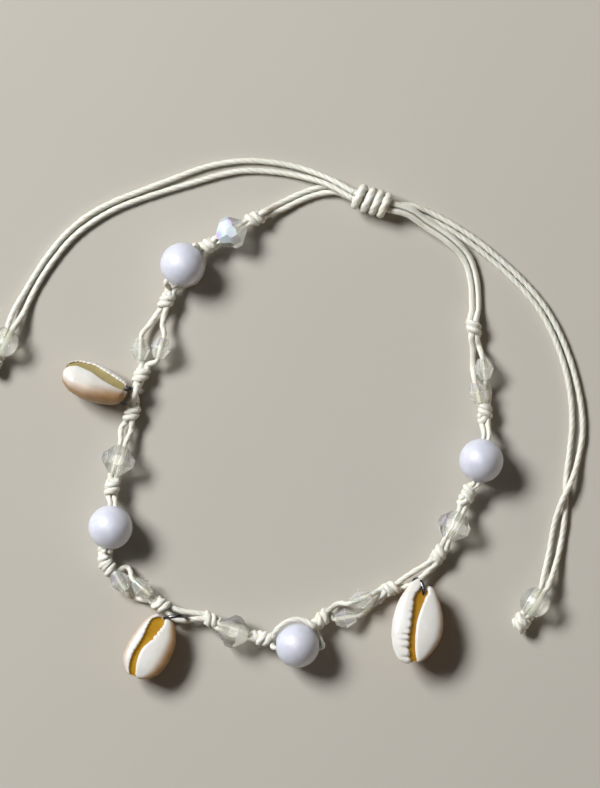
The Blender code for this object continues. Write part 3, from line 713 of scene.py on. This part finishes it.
# %% Lay the free ends and tie their knots
END_SQUEEZED = 0.92
END_HALF = round_half_length(END_BEAD_WIDTH)
END_KNOT_LOOK = (20, 1, 1.14, 0, 0)
END_KNOT_STRAND = 1.3
END_KNOT_LENGTH = 2.5
END_KNOT_LIFT = 0.05
END_KNOT_TAIL = 0.62


def free_line(name):
    """One free strand, from the sliding knot to its bead, where the two of an end have swapped sides."""
    side, letter = name.split("_")[1:]
    mouth = 1 if side == "right" else -1
    lane = 1 if letter == "a" else -1
    middle, heading = END_BEADS[side]
    strand = Strand()
    strand.add(slide_point(mouth, -mouth, lane, CLEARANCE))
    for x, y, *height in FREE_POINTS[name]:
        strand.add((x, y, *(height or [ON_GROUND])))
    for back, apart, share in ((3, APART, 1.0), (1, APART_IN_BORE, END_SQUEEZED)):
        reach = ahead(heading) * (END_HALF + back * CLEARANCE)
        strand.add(middle - reach - across(heading) * lane * apart / 2, share)
    return strand.smooth(STRAND_STEP)


def end_knot_line(side, lane):
    """One strand's way through the end bead and the knot behind it."""
    middle, heading = END_BEADS[side]
    beside = across(heading) * lane * APART_IN_BORE / 2
    knot = middle + ahead(heading) * (END_HALF + CLEARANCE + END_KNOT_LENGTH / 2)
    knot.z = KNOT_WIDTH / 2 * END_KNOT_LOOK[2] + END_KNOT_LIFT
    strand = Strand()
    strand.add(middle - ahead(heading) * (END_HALF + CLEARANCE) + beside, END_SQUEEZED, straight=True)
    strand.add(middle + ahead(heading) * END_HALF + beside, END_SQUEEZED)
    add_knot(strand, knot, heading, lane, END_KNOT_LOOK, END_KNOT_STRAND, END_KNOT_LENGTH)
    strand.add(knot + ahead(heading) * END_KNOT_LENGTH * END_KNOT_TAIL + beside, KNOT_STRAND)
    return strand.smooth(STRAND_STEP)


free_pieces = {}
free_lines = {name: free_line(name) for name in FREE_POINTS}
for number, (name, line) in enumerate(free_lines.items()):
    free_pieces[name] = add_strand(f"{name}_twisted", line, section, seed=20 + number)
    dress(free_pieces[name], cotton.material, "cord", name)

for side in END_BEADS:
    for lane in (1, -1):
        line = end_knot_line(side, lane)
        piece = add_strand(f"end_knot_{side}_{'a' if lane < 0 else 'b'}", line, section, seed=30 + lane)
        dress(piece, cotton.material, "cord", f"end_knot_{side}")
bpy.data.objects.remove(section)

# %% [markdown]
# ## White beads
#
# A round bead is a sphere with a drilled hole. A Boolean could drill it, but would cut the sphere's faces
# raggedly at the mouths. So the sphere is cut flat at both mouths with bisect, and a bridge between the two
# rims makes the hole's wall. A small bevel rounds the mouths.


# %% Model a drilled round bead
def bevel(piece, width, segments, angle):
    """Bevels the edges that turn by more than an angle in degrees."""
    edges = piece.modifiers.new("bevel", "BEVEL")
    edges.width = width * MM
    edges.segments = segments
    edges.limit_method = "ANGLE"
    edges.angle_limit = math.radians(angle)
    apply_all(piece)


def round_bead(name, width, segments, rings):
    """A pattern for a drilled round bead, with its hole along Z."""
    half = round_half_length(width)
    bpy.ops.mesh.primitive_uv_sphere_add(segments=segments, ring_count=rings, radius=width / 2 * MM)
    bead = name_new(name)
    start_editing(bead)
    for way in (1, -1):
        bpy.ops.mesh.select_all(action="SELECT")
        bpy.ops.mesh.bisect(plane_co=(0, 0, way * half * MM), plane_no=(0, 0, way), clear_outer=True)
    bpy.ops.mesh.select_mode(type="EDGE")
    bpy.ops.mesh.select_all(action="DESELECT")
    bpy.ops.mesh.select_non_manifold()
    bpy.ops.mesh.bridge_edge_loops()
    end_editing()
    bevel(bead, 0.12, 3, 40)
    bpy.ops.object.shade_smooth_by_angle(angle=math.radians(50))
    return bead


def lying(middle, heading):
    """The place of a bead whose hole lies level along a heading, with its +X side down, in metres."""
    along = ahead(heading)
    turn = Matrix((-UP, along.cross(-UP), along)).transposed().to_4x4()
    return Matrix.Translation(middle * MM) @ turn


def string_beads(pattern, kind, name, material, slot, node):
    """Copies a pattern to each station of its kind."""
    stations = [row for row in ROUTE if row[0].split("_")[0] == kind]
    for number, (*station, heading) in enumerate(stations, 1):
        bead = copy_to(pattern, f"{name}_{number}", lying(station_middle(*station), heading))
        dress(bead, material, slot, f"{node}_{number}")
    print(kind, "beads:", len(stations), "with", len(pattern.data.polygons), "faces each")
    bpy.data.objects.remove(pattern)


# %% Glossy white
white = Finish(
    "glossy white", Coat_Weight=0.45, Coat_Roughness=0.4,
    Subsurface_Weight=0.12, Subsurface_Scale=0.0022, Subsurface_Radius=(1.0, 0.8, 0.75),
)
mottle = white.place.noise(1.6 * MM, detail=3.0)
mottle.between(0.35, 0.65).mix((0.61, 0.63, 0.71), (0.65, 0.67, 0.75)).feed(white.shader, "Base Color")
(0.30 + 0.08 * mottle).feed(white.shader, "Roughness")
white.place.noise(0.9 * MM).bump(0.01 * MM, 0.3).feed(white.shader, "Normal")
white_pattern = round_bead("white bead pattern", WHITE_WIDTH, 96, 64)
string_beads(white_pattern, "white", "white_round", white.material, "white", "white_bead")

# %% [markdown]
# ## Faceted beads
#
# A faceted glass bead is ground flat, facet by facet. It could be a low-polygon sphere, but its facets would
# be bent or in rows. Here a block is cut by one bisect for each facet, as on a grinding wheel: a belt round
# the middle, a staggered ring on each side, and a flat end round each mouth. A Boolean drills the hole.

# %% Grind the facets
RING_TILT = math.radians(43)
RING_REACH = 2.62


def cut_facet(normal, reach):
    """Cuts off all that lies further out than a facet, and closes the cut."""
    bpy.ops.mesh.select_all(action="SELECT")
    bpy.ops.mesh.bisect(plane_co=normal * reach * MM, plane_no=normal, use_fill=True, clear_outer=True)


def drill(piece, radius):
    """Drills a hole along Z."""
    bpy.ops.mesh.primitive_cylinder_add(vertices=32, radius=radius * MM, depth=20 * MM)
    drill_bit = name_new("drill")
    hole = piece.modifiers.new("hole", "BOOLEAN")
    hole.operation = "DIFFERENCE"
    hole.solver = "EXACT"
    hole.object = drill_bit
    apply_all(piece)
    bpy.data.objects.remove(drill_bit)


def faceted_bead():
    bpy.ops.mesh.primitive_cube_add(size=FACETED_WIDTH * 1.4 * MM)
    bead = name_new("faceted bead pattern")
    start_editing(bead)
    belt_reach = FACETED_WIDTH / 2 * math.cos(math.pi / FACETED_SIDES)
    facet_turn = 360 / FACETED_SIDES
    for i in range(FACETED_SIDES):
        cut_facet(ahead(i * facet_turn), belt_reach)
    for way in (1, -1):
        cut_facet(UP * way, FACETED_LENGTH / 2)
        for i in range(FACETED_SIDES):
            flat = ahead((i + 0.5) * facet_turn) * math.cos(RING_TILT)
            cut_facet(flat + UP * way * math.sin(RING_TILT), RING_REACH)
    bpy.ops.object.mode_set(mode="OBJECT")
    drill(bead, BORE_FOR_TWO)
    bevel(bead, 0.08, 1, 12)
    return bead


# %% [markdown]
# ## Clear glass
#
# The faceted beads, bicones and end beads are clear glass, and a little cloudy, so they look pale and bright
# over the cord. The faceted beads were also coated on one side, which gives lilac and cyan there. A thin film
# over the whole bead would tint everything seen through it. So each facet stores how far it is on the coated
# side, which faces the lamp, so the coating's colour is partly a painted sheen. This mixes in a second shader
# for the coating, which also paints glints on the narrow edges and a glow on the far wall.

# %% Clear glass
glass = Finish(
    "coated glass with painted sheen", IOR=1.4, Transmission_Weight=0.94, Alpha=0.72,
    Coat_Weight=1.0, Coat_IOR=1.7, Coat_Roughness=0.05,
)
clouds = glass.place.noise(1.2 * MM).between(0.4, 0.8)
clouds.mix((0.96, 0.97, 0.88), (0.99, 0.99, 0.98)).feed(glass.shader, "Base Color")
(0.02 + 0.05 * clouds).feed(glass.shader, "Roughness")
print("clear glass nodes:", len(glass.tree.nodes))

# %% Pearly coating and painted glints
LILAC, CYAN, PALE, YELLOW = (0.68, 0.52, 0.95), (0.62, 0.86, 0.98), (0.95, 0.95, 0.98), (0.93, 0.92, 0.66)
coating_and_glints = glass.tree.nodes.new("ShaderNodeBsdfPrincipled")
coating_and_glints.inputs["Coat Weight"].default_value = 1.0
coating_and_glints.inputs["Roughness"].default_value = 0.3
coating_and_glints.inputs["Emission Strength"].default_value = 1.0
drift = glass.place.noise(3.0 * MM, detail=1.0)
stops = [(0.35, LILAC), (0.48, CYAN), (0.58, PALE), (0.7, YELLOW)]
shade = drift.node("ShaderNodeValToRGB", {"stops": stops}, {"Fac": drift})
# Painted glints and glow: narrow edges and the far wall turn pale and get an emission of their own.
edge = glass.attribute("edge")
edge.mix(shade, (0.95, 0.95, 0.86)).feed(coating_and_glints, "Base Color")
edge.mix((0.0, 0.0, 0.0), (0.42, 0.41, 0.38)).feed(coating_and_glints, "Emission Color")
mixed = glass.tree.nodes.new("ShaderNodeMixShader")
glass.attribute("coated").feed(mixed, "Fac")
glass.tree.links.new(glass.shader.outputs[0], mixed.inputs[1])
glass.tree.links.new(coating_and_glints.outputs[0], mixed.inputs[2])
glass.tree.links.new(mixed.outputs[0], glass.tree.nodes["Material Output"].inputs["Surface"])
print("with the coating:", len(glass.tree.nodes))

# %% Coat the faceted beads
# Painted light: narrow bevel faces get glints, and facets facing the lower right, away from the lamp, get a
# glow, as where light through the glass would gather.
NARROW = 0.4 * MM * MM
EDGE_SHINE = 0.42
WALL_SHINE = 0.75
EDGE_GAIN = 1.5
FAR_WALL = Vector((0.62, -0.50, 0.35)).normalized()
COATED_SIDE_TOWARD_LAMP = Vector((-0.62, 0.30, 0.72)).normalized()


def mark_coating_and_glints(piece, strength, narrow=NARROW):
    """Stores each facet's coating, strongest toward the lamp, and painted glints on edges and the far wall.
    """
    coated = piece.data.attributes.new("coated", "FLOAT", "FACE")
    # The edge store holds the painted glints and glow.
    edge = piece.data.attributes.new("edge", "FLOAT", "FACE")
    for facet in piece.data.polygons:
        gathered = max(0.0, facet.normal.dot(FAR_WALL)) ** 5
        painted_glint = max(WALL_SHINE * gathered, EDGE_SHINE * (facet.area < narrow))
        # The coating shows most on facets that face the lamp: a real coating, and partly a painted sheen.
        shine = strength * max(0.0, facet.normal.dot(COATED_SIDE_TOWARD_LAMP)) ** 2
        edge.data[facet.index].value = min(1.0, EDGE_GAIN * painted_glint)
        coated.data[facet.index].value = max(shine, painted_glint)


# Only the first of the four lies coated side up, toward the lamp, so only it gets a strong painted sheen.
string_beads(faceted_bead(), "faceted", "faceted_glass", glass.material, "clear", "faceted_bead")
for number, strength in enumerate((0.95, 0.12, 0.12, 0.15), 1):
    mark_coating_and_glints(bpy.data.objects[f"faceted_glass_{number}"], strength)

# %% [markdown]
# ## Bicones
#
# A bicone is two short cones base to base, each ground in flat faces that meet in a sharp waist. A filled
# circle is extruded twice and resized at each step, the way it would be drawn by hand, and then drilled.


# %% Model a bicone
def bicone():
    bpy.ops.mesh.primitive_circle_add(
        vertices=BICONE_SIDES,
        radius=BICONE_END / 2 * MM,
        fill_type="NGON",
        location=(0, 0, -BICONE_LENGTH / 2 * MM),
    )
    bead = name_new("bicone pattern")
    start_editing(bead)
    up = {"value": (0, 0, BICONE_LENGTH / 2 * MM)}
    for wider in (BICONE_WIDTH / BICONE_END, BICONE_END / BICONE_WIDTH):
        bpy.ops.mesh.extrude_region_move(TRANSFORM_OT_translate=up)
        bpy.ops.transform.resize(value=(wider, wider, 1.0), center_override=(0, 0, 0))
    end_editing()
    bpy.ops.object.transform_apply(location=True, rotation=True, scale=True)
    drill(bead, BORE_FOR_ONE)
    bevel(bead, 0.05, 1, 12)
    return bead


string_beads(bicone(), "bicone", "bicone_glass", glass.material, "clear", "bicone")
for number in range(1, 9):
    # Bicones: a faint coating, with painted glints on their edges and a painted glow on their far wall.
    mark_coating_and_glints(bpy.data.objects[f"bicone_glass_{number}"], 0.15)

# %% Clear end beads
end_pattern = round_bead("end bead pattern", END_BEAD_WIDTH, 64, 48)
end_beads = {}
for side in END_BEADS:
    end_beads[side] = copy_to(end_pattern, f"end_round_{side}", lying(*END_BEADS[side]))
    # End beads: a painted glow on the far wall, and no edge glints.
    mark_coating_and_glints(end_beads[side], 0.1, narrow=0.0)
    dress(end_beads[side], glass.material, "clear", f"end_bead_{side}")
bpy.data.objects.remove(end_pattern)
print("end beads:", list(end_beads))


def line_length(line):
    return sum((b[0] - a[0]).length for a, b in zip(line, line[1:])) * MM


for name, line in free_lines.items():
    side = name.split("_")[1]
    tuple(line[0][0] * MM)
    line_length(line)
    [tuple(point * MM) for point, share in line[::4] + line[-1:]]
    print(name, "length:", round(line_length(line) * 1000, 1), "mm")

# %% [markdown]
# ## Cowrie shells
#
# A cowrie lies on its back, with its flat side and its toothed slit up. The slit could be a Boolean cut, but
# its lips roll inwards, so every cross-section of the shell is one closed line: over the left lip, down into
# the slit, across it, up the other wall, over the right lip and round the back. The points of a sphere,
# turned so that its poles are the shell's ends, are moved onto those sections. Folds run from the slit over
# each lip where that shell has them.

# %% The three shells
# Height: of the lips over the rim, and of the back under it. Turns: about X, Y and Z. Each row: place along
# the shell from -1 to 1, the left margin, the slit's left and right edges, and the right margin. Teeth, for
# the left and right lip: from, to, and the grooves' depth and reach. Ends, rear and front: what is cut off
# the right lip, and the notch at the slit. Tan: where round the flank it starts and is full, and its drift
# along the shell. Slit: pale, dark, and a painted glow that lifts its shade.
SHELLS = [
    dict(
        length=12.3, height=(2.1, 3.9), flat=2.0, place=(-34.1, 9.2), turns=(-46, 0, -19),
        rows=[
            (0.92, 1.9, 0.4, -1.1, 2.7), (0.61, 2.8, 0.7, -1.35, 3.5), (0.19, 3.5, 1.4, -1.1, 4.0),
            (-0.16, 3.75, 2.35, -0.2, 4.1), (-0.65, 3.2, 2.5, 0.6, 3.4), (-0.93, 2.0, 1.5, 0.0, 2.0),
        ],
        teeth=([(-0.9, 0.95, 0.1, 0.3)], [(0.2, 0.9, 0.04, 0.3)]),
        spacing=0.8, ends=((0.0, 0.3), (-0.8, 1.0)), ochre_to=0.86, rolls=(0.35, 0.5), tan=(0.45, 1.15, 0.3),
        slit=((0.30, 0.25, 0.120), (0.25, 0.20, 0.080), (0.09, 0.075, 0.030)),
    ),
    dict(
        length=12.6, height=(1.25, 4.5), flat=2.9, place=(-24.2, -39.2), turns=(0, 4, 64.5),
        rows=[
            (0.97, 1.7, 0.7, -0.2, 1.7), (0.76, 2.75, 2.0, -0.44, 2.8), (0.5, 3.3, 2.05, 0.0, 3.7),
            (0.2, 3.72, 1.95, 0.4, 4.1), (-0.1, 3.95, 2.15, 1.25, 4.17), (-0.35, 4.0, 2.37, 1.3, 3.95),
            (-0.57, 3.75, 2.2, 1.03, 3.5), (-0.8, 2.85, 1.8, 0.55, 2.4), (-0.95, 1.75, 1.2, 0.3, 1.2),
        ],
        teeth=([(-0.9, 0.9, 0.07, 0.4)], [(0.1, 0.85, 0.22, 0.28)]),
        spacing=0.85, ends=((0.4, 0.5), (0.15, 0.6)), ochre_to=0.95, rolls=(0.28, 0.5), tan=(0.42, 0.85, 0.0),
        slit=((0.35, 0.190, 0.006), (0.28, 0.145, 0.004), (0.12, 0.062, 0.001)),
    ),
    dict(
        length=15.9, height=(1.3, 4.9), flat=3.0, place=(24.25, -34.45), turns=(0, 8, 84.6),
        rows=[
            (0.93, 1.3, -0.3, -1.0, 1.3), (0.8, 2.2, -0.1, -1.4, 2.45), (0.66, 2.9, 0.5, -1.35, 3.0),
            (0.55, 3.4, 1.07, -0.93, 3.4), (0.37, 3.98, 0.95, -0.58, 4.0), (0.19, 4.3, 1.0, -0.15, 4.45),
            (-0.06, 4.6, 1.06, 0.22, 4.72), (-0.35, 4.57, 1.2, 0.22, 4.45), (-0.62, 4.1, 1.07, 0.07, 3.35),
            (-0.8, 3.45, 0.85, -0.2, 2.3), (-0.93, 2.6, 0.55, -0.5, 1.25),
        ],
        teeth=(
            [(-1.0, -0.2, 0.3, 1.1), (-0.35, 0.3, 0.16, 0.7), (0.1, 0.75, 0.1, 0.4)],
            [(0.4, 0.95, 0.14, 0.4)],
        ),
        spacing=1.3, ends=((0.3, 0.6), (1.0, 1.3)), ochre_to=0.7, rolls=(0.5, 0.5), tan=(0.68, 1.1, 0.0),
        slit=((0.27, 0.135, 0.003), (0.22, 0.105, 0.002), (0.09, 0.045, 0.001)),
    ),
]
LEAST_SLIT = 0.16
LEAST_WALL = 0.03
FLOOR_DROP = 0.3
FLOOR_SAG = 0.1
UNDERCUT = 0.04
WITHIN_MARGIN = 0.9
ROLL_SHARE = 0.6
LIP_SQUASH = 0.8
TEETH_FADE = 0.12
OCHRE_FADE = 0.08
# Painted shade: the tan starts later on the side toward the lamp, so the flank away from it is darker.
LAMP_SIDE_PALER = 0.3
NOTCH_ROOM = 0.25
LIP_ENDS, WALL_ENDS, FRONT_ENDS = 0.17, 0.25, 0.56
print("shells:", len(SHELLS))


# %% Shape a shell section by section
TURNS = np.radians(np.arange(181))


def profile(rows, column, closed):
    """A smooth line through one column of the rows, over the angle whose cosine is the place along."""
    values = [row[column] for row in rows]
    first, last = (0.0, 0.0) if closed else (values[0], values[-1])
    angles = [0.0, *(math.acos(row[0]) for row in rows), math.pi]
    line = np.interp(TURNS, angles, [first, *values, last])
    window = np.hanning(19)
    return np.convolve(np.pad(line, 9, mode="reflect", reflect_type="odd"), window / window.sum(), "valid")


def smooth_step(low, high, value):
    t = min(1.0, max(0.0, (value - low) / (high - low)))
    return t * t * (3 - 2 * t)


def groove_at(along, shell, side, out):
    """How deep the grooves between a lip's teeth are at a place, out from the slit's edge."""
    uneven = along + 0.03 * math.sin(9 * along + shell["length"])
    across_tooth = (0.5 + 0.5 * math.cos(math.tau * uneven * shell["length"] / 2 / shell["spacing"])) ** 2.5
    deepest = 0.0
    for start, end, depth, reach in shell["teeth"][side]:
        fade = smooth_step(start, start + TEETH_FADE, along)
        fade *= 1 - smooth_step(end - TEETH_FADE, end, along)
        deepest = max(deepest, depth * fade * math.exp(-((out / reach) ** 2)))
    return deepest * across_tooth


def shell_point(shell, lines, along, share):
    """A shell point in millimetres, how far inside the slit it is, and its tan, partly painted shade."""
    base, dome = shell["height"]
    left, slit_left, slit_right, right = (np.interp(math.acos(along), TURNS, line) for line in lines)
    half = (left + right) / 2
    middle = (left - right) / 2
    widest = shell["rows"][len(shell["rows"]) // 2]
    narrow = (left + right) / (widest[1] + widest[4])
    slit_left = min(slit_left, left * WITHIN_MARGIN)
    slit_right = max(slit_right, -right * WITHIN_MARGIN)
    least = LEAST_SLIT * narrow
    if slit_left - slit_right < least:
        slit_left = (slit_left + slit_right + least) / 2
        slit_right = slit_left - least
    sides = []
    for side, (margin, slit) in enumerate(((left, slit_left), (-right, slit_right))):
        way = 1 - 2 * side
        edge = slit + way * groove_at(along, shell, side, 0.0) * narrow
        roll = min(shell["rolls"][side], abs(margin - edge) * ROLL_SHARE)
        sides.append((margin, slit, slit + way * UNDERCUT * narrow, edge, roll))

    def top(y):
        return base * narrow * max(0.0, 1 - abs((y - middle) / max(half, 1e-6)) ** shell["flat"]) ** 0.5

    def lip(side, t):
        """A point across a lip, from its margin at 0 to the slit's edge at 1."""
        margin, slit, under, edge, roll = sides[side]
        y = edge + (margin - edge) * (0.5 + 0.5 * math.cos(math.pi * t))
        out = abs(y - edge)
        drop = 0.0
        if out < roll:
            drop = roll * (1 - math.sqrt(max(0.0, 1 - (1 - out / roll) ** 2)))
        return y, top(y) - drop * LIP_SQUASH - groove_at(along, shell, side, out)

    def wall(side, t):
        """A point down the slit's wall, from its lip at 0 to its foot at 1, which the grooves don't reach."""
        margin, slit, under, edge, roll = sides[side]
        rim = lip(side, 1.0)[1]
        foot = min(rim - LEAST_WALL, top(slit) - roll * LIP_SQUASH - FLOOR_DROP * narrow**0.5)
        return edge + (under - edge) * math.sin(t * math.pi / 2), rim * (1 - t) + foot * t

    inside = round_back = 0.0
    side = int(share > FRONT_ENDS / 2)
    folded = min(share, FRONT_ENDS - share)
    if share >= FRONT_ENDS:
        angle = math.pi * (share - FRONT_ENDS) / (1 - FRONT_ENDS)
        y = middle - half * math.cos(angle)
        z = -dome * narrow * math.sin(angle)
        round_back = 1 + math.sin(angle)
    elif folded < LIP_ENDS:
        y, z = lip(side, folded / LIP_ENDS)
        round_back = abs(y - middle) / max(half, 1e-6)
    elif folded < WALL_ENDS:
        t = (folded - LIP_ENDS) / (WALL_ENDS - LIP_ENDS)
        y, z = wall(side, t)
        inside = min(1.0, t * 3)
    else:
        t = (share - WALL_ENDS) / (FRONT_ENDS - 2 * WALL_ENDS)
        (y, z), (far_y, far_z) = wall(0, 1.0), wall(1, 1.0)
        y += (far_y - y) * t
        z += (far_z - z) * t - FLOOR_SAG * math.sin(t * math.pi) * narrow
        inside = 1.0
    tan_from, tan_to, drift = shell["tan"]
    # Painted shade: the tan is held back on the side toward the lamp.
    paler = (LAMP_SIDE_PALER if y > middle else 0.0) - drift * along
    shorter, notch = shell["ends"][along > 0]
    slit_middle = (slit_left + slit_right) / 2
    slit_half = (slit_left - slit_right) / 2 + NOTCH_ROOM
    cut = shorter * (1 - smooth_step(slit_right, slit_left, y))
    cut += notch * math.exp(-(((y - slit_middle) / slit_half) ** 2))
    x = along * shell["length"] / 2 - math.copysign(cut * abs(along) ** 8, along)
    inside *= 1 - smooth_step(shell["ochre_to"], shell["ochre_to"] + OCHRE_FADE, along)
    return Vector((x, y, z)) * MM, inside, smooth_step(tan_from + paler, tan_to + paler, round_back)


def add_shell(number, shell):
    bpy.ops.mesh.primitive_uv_sphere_add(segments=132, ring_count=160, radius=1.0)
    piece = name_new(f"cowrie_shell_{number}")
    mesh = piece.data
    inside = mesh.attributes.new("inside", "FLOAT", "POINT")
    flank = mesh.attributes.new("flank", "FLOAT", "POINT")
    lines = [profile(shell["rows"], column, column in (1, 4)) for column in (1, 2, 3, 4)]
    for vert in mesh.vertices:
        share = (math.atan2(vert.co.y, vert.co.x) / math.tau) % 1.0
        along = max(-0.99999, min(0.99999, vert.co.z))
        vert.co, inside_here, flank_here = shell_point(shell, lines, along, share)
        inside.data[vert.index].value = inside_here
        flank.data[vert.index].value = flank_here
    for axis, turn in zip("XYZ", shell["turns"]):
        mesh.transform(Matrix.Rotation(math.radians(turn), 4, axis))
    lowest = min(vert.co.z for vert in mesh.vertices)
    mesh.transform(Matrix.Translation((*(Vector(shell["place"]) * MM), -lowest)))
    start_editing(piece)
    end_editing()
    bpy.ops.object.shade_smooth()
    return piece


# %% [markdown]
# ## Shell finish
#
# The lips are a glossy, warm white. The inside of the slit is ochre, and the back turns peach and tan. The
# mesh knows how far inside and how far round the back each point lies, so two masks blend the three colours.
# The tan starts later on the side toward the lamp, which adds painted shade to the flank away from it, and a
# painted glow keeps the slit bright even where no lamp reaches.


# %% Polished shell
def polished_shell(number, slit_colours_and_painted_glow):
    finish = Finish(
        f"polished shell {number}", IOR=1.25, Coat_Roughness=0.2, Emission_Strength=1.0,
        Subsurface_Weight=0.2, Subsurface_Scale=0.0010, Subsurface_Radius=(1.0, 0.7, 0.5),
    )
    pale, dark, painted_slit_glow = slit_colours_and_painted_glow
    inside = finish.attribute("inside")
    stain = finish.place.noise(2.2 * MM, detail=3.0)
    stained = stain.between(0.3, 0.7)
    lips = stain.between(0.35, 0.7).mix((0.73, 0.72, 0.68), (0.70, 0.68, 0.62))
    outside = finish.attribute("flank").mix(lips, stained.mix((0.44, 0.27, 0.13), (0.36, 0.205, 0.085)))
    in_slit = inside.between(0.15, 0.6)
    in_slit.mix(outside, stained.mix(pale, dark)).feed(finish.shader, "Base Color")
    # Painted glow: the slit gives off a little ochre light of its own, though it is no lamp.
    in_slit.mix((0.0, 0.0, 0.0), painted_slit_glow).feed(finish.shader, "Emission Color")
    (0.25 + 0.15 * stain + 0.3 * inside).feed(finish.shader, "Roughness")
    (0.35 - 0.35 * inside).feed(finish.shader, "Coat Weight")
    finish.place.noise(0.5 * MM).bump(0.02 * MM, 0.4).feed(finish.shader, "Normal")
    return finish.material


for number, shell in enumerate(SHELLS, 1):
    shell_piece = add_shell(number, shell)
    dress(shell_piece, polished_shell(number, shell["slit"]), "shell", f"cowrie_{number}")
    print(shell_piece.name, len(shell_piece.data.polygons), "faces")

# %% [markdown]
# ## Jump rings
#
# A jump ring is a bent wire whose ends meet. A torus would have no joint, so a wire's round section is spun
# almost all the way round, which leaves a hairline gap.

# %% Bend the rings
# Each ring: its middle, the heading of its plane, and how far it leans over.
RINGS = [(-28.5, 6.5, 1.95, 4, 42), (-19.8, -33.9, 2.6, 8, 12), (24.4, -28.7, 2.9, 102, -28)]
RING_GAP = math.radians(3)


def jump_ring():
    reach = (RING_WIDTH - RING_WIRE) / 2 * MM
    bpy.ops.mesh.primitive_circle_add(vertices=20, radius=RING_WIRE / 2 * MM, fill_type="NGON")
    ring = name_new("jump ring pattern")
    ring.data.transform(Matrix.Translation((reach, 0, 0)) @ Matrix.Rotation(math.pi / 2, 4, "X"))
    start_editing(ring)
    bpy.ops.mesh.spin(steps=96, angle=math.tau - RING_GAP, center=(0, 0, 0), axis=(0, 0, 1))
    end_editing()
    bpy.ops.object.shade_smooth_by_angle(angle=math.radians(50))
    return ring


def ring_place(x, y, z, heading, lean):
    """A ring's plane stands along its heading, then leans over."""
    lean = math.radians(lean)
    along = ahead(heading)
    up = UP * math.cos(lean) + across(heading) * math.sin(lean)
    turn = Matrix((along, up, along.cross(up))).transposed().to_4x4()
    return Matrix.Translation(Vector((x, y, z)) * MM) @ turn


steel = Finish("dark steel", Metallic=1.0)
scratches = steel.place.noise(0.25 * MM, detail=3.0)
scratches.mix((0.10, 0.10, 0.11), (0.20, 0.20, 0.21)).feed(steel.shader, "Base Color")
(0.16 + 0.2 * scratches).feed(steel.shader, "Roughness")
ring_pattern = jump_ring()
for number, ring in enumerate(RINGS, 1):
    piece = copy_to(ring_pattern, f"wire_ring_{number}", ring_place(*ring))
    dress(piece, steel.material, "steel", f"jump_ring_{number}")
bpy.data.objects.remove(ring_pattern)
print("jump rings:", len(RINGS))

# %% [markdown]
# ## Floor and light
#
# The anklet lies on a plain pale floor. One large soft lamp from the upper left of the picture gives the soft
# shadows to the lower right. A weak, warm lamp low on the other side and the world fill them, and a ceiling
# panel shows only as a highlight on what is glossy.

# %% Stage
bpy.ops.mesh.primitive_plane_add(size=3.0, location=(0, 0, 0))
floor = name_new("floor")
floor_finish = Finish("floor", Roughness=0.9, Base_Color=(0.50, 0.47, 0.41, 1.0))
floor.data.materials.append(floor_finish.material)


def add_lamp(name, place, size, power, tint):
    data = bpy.data.lights.new(name, "AREA")
    data.shape = "RECTANGLE"
    data.size, data.size_y = size
    data.energy = power
    data.color = tint
    lamp = bpy.data.objects.new(name, data)
    lamp.location = place
    lamp.rotation_mode = "QUATERNION"
    lamp.rotation_quaternion = (-Vector(place)).to_track_quat("-Z", "Y")
    lamp.visible_camera = False
    bpy.context.scene.collection.objects.link(lamp)
    return lamp


add_lamp("window", (-0.80, 0.55, 0.88), (0.60, 0.36), 25.0, (0.97, 0.98, 1.0))
reflector = add_lamp("low reflector", (0.95, -0.70, 0.10), (0.50, 0.12), 2.0, (1.0, 0.86, 0.72))
reflector.visible_glossy = False
ceiling = add_lamp("ceiling", (-0.30, 0.20, 1.15), (0.90, 0.90), 8.0, (1.0, 1.0, 1.0))
ceiling.visible_diffuse = False
world = bpy.data.worlds.new("room")
bpy.context.scene.world = world
world.use_nodes = True
background = world.node_tree.nodes["Background"]
coordinates = world.node_tree.nodes.new("ShaderNodeTexCoord")
direction = Wire(world.node_tree, coordinates.outputs["Generated"])
up = direction.node("ShaderNodeSeparateXYZ", {}, {"Vector": direction}, output=2)
up.between(0.0, 0.8).mix((0.95, 0.82, 0.66), (0.16, 0.13, 0.11)).feed(background, "Color")
background.inputs["Strength"].default_value = 0.18
bpy.context.scene.view_settings.view_transform = "Standard"
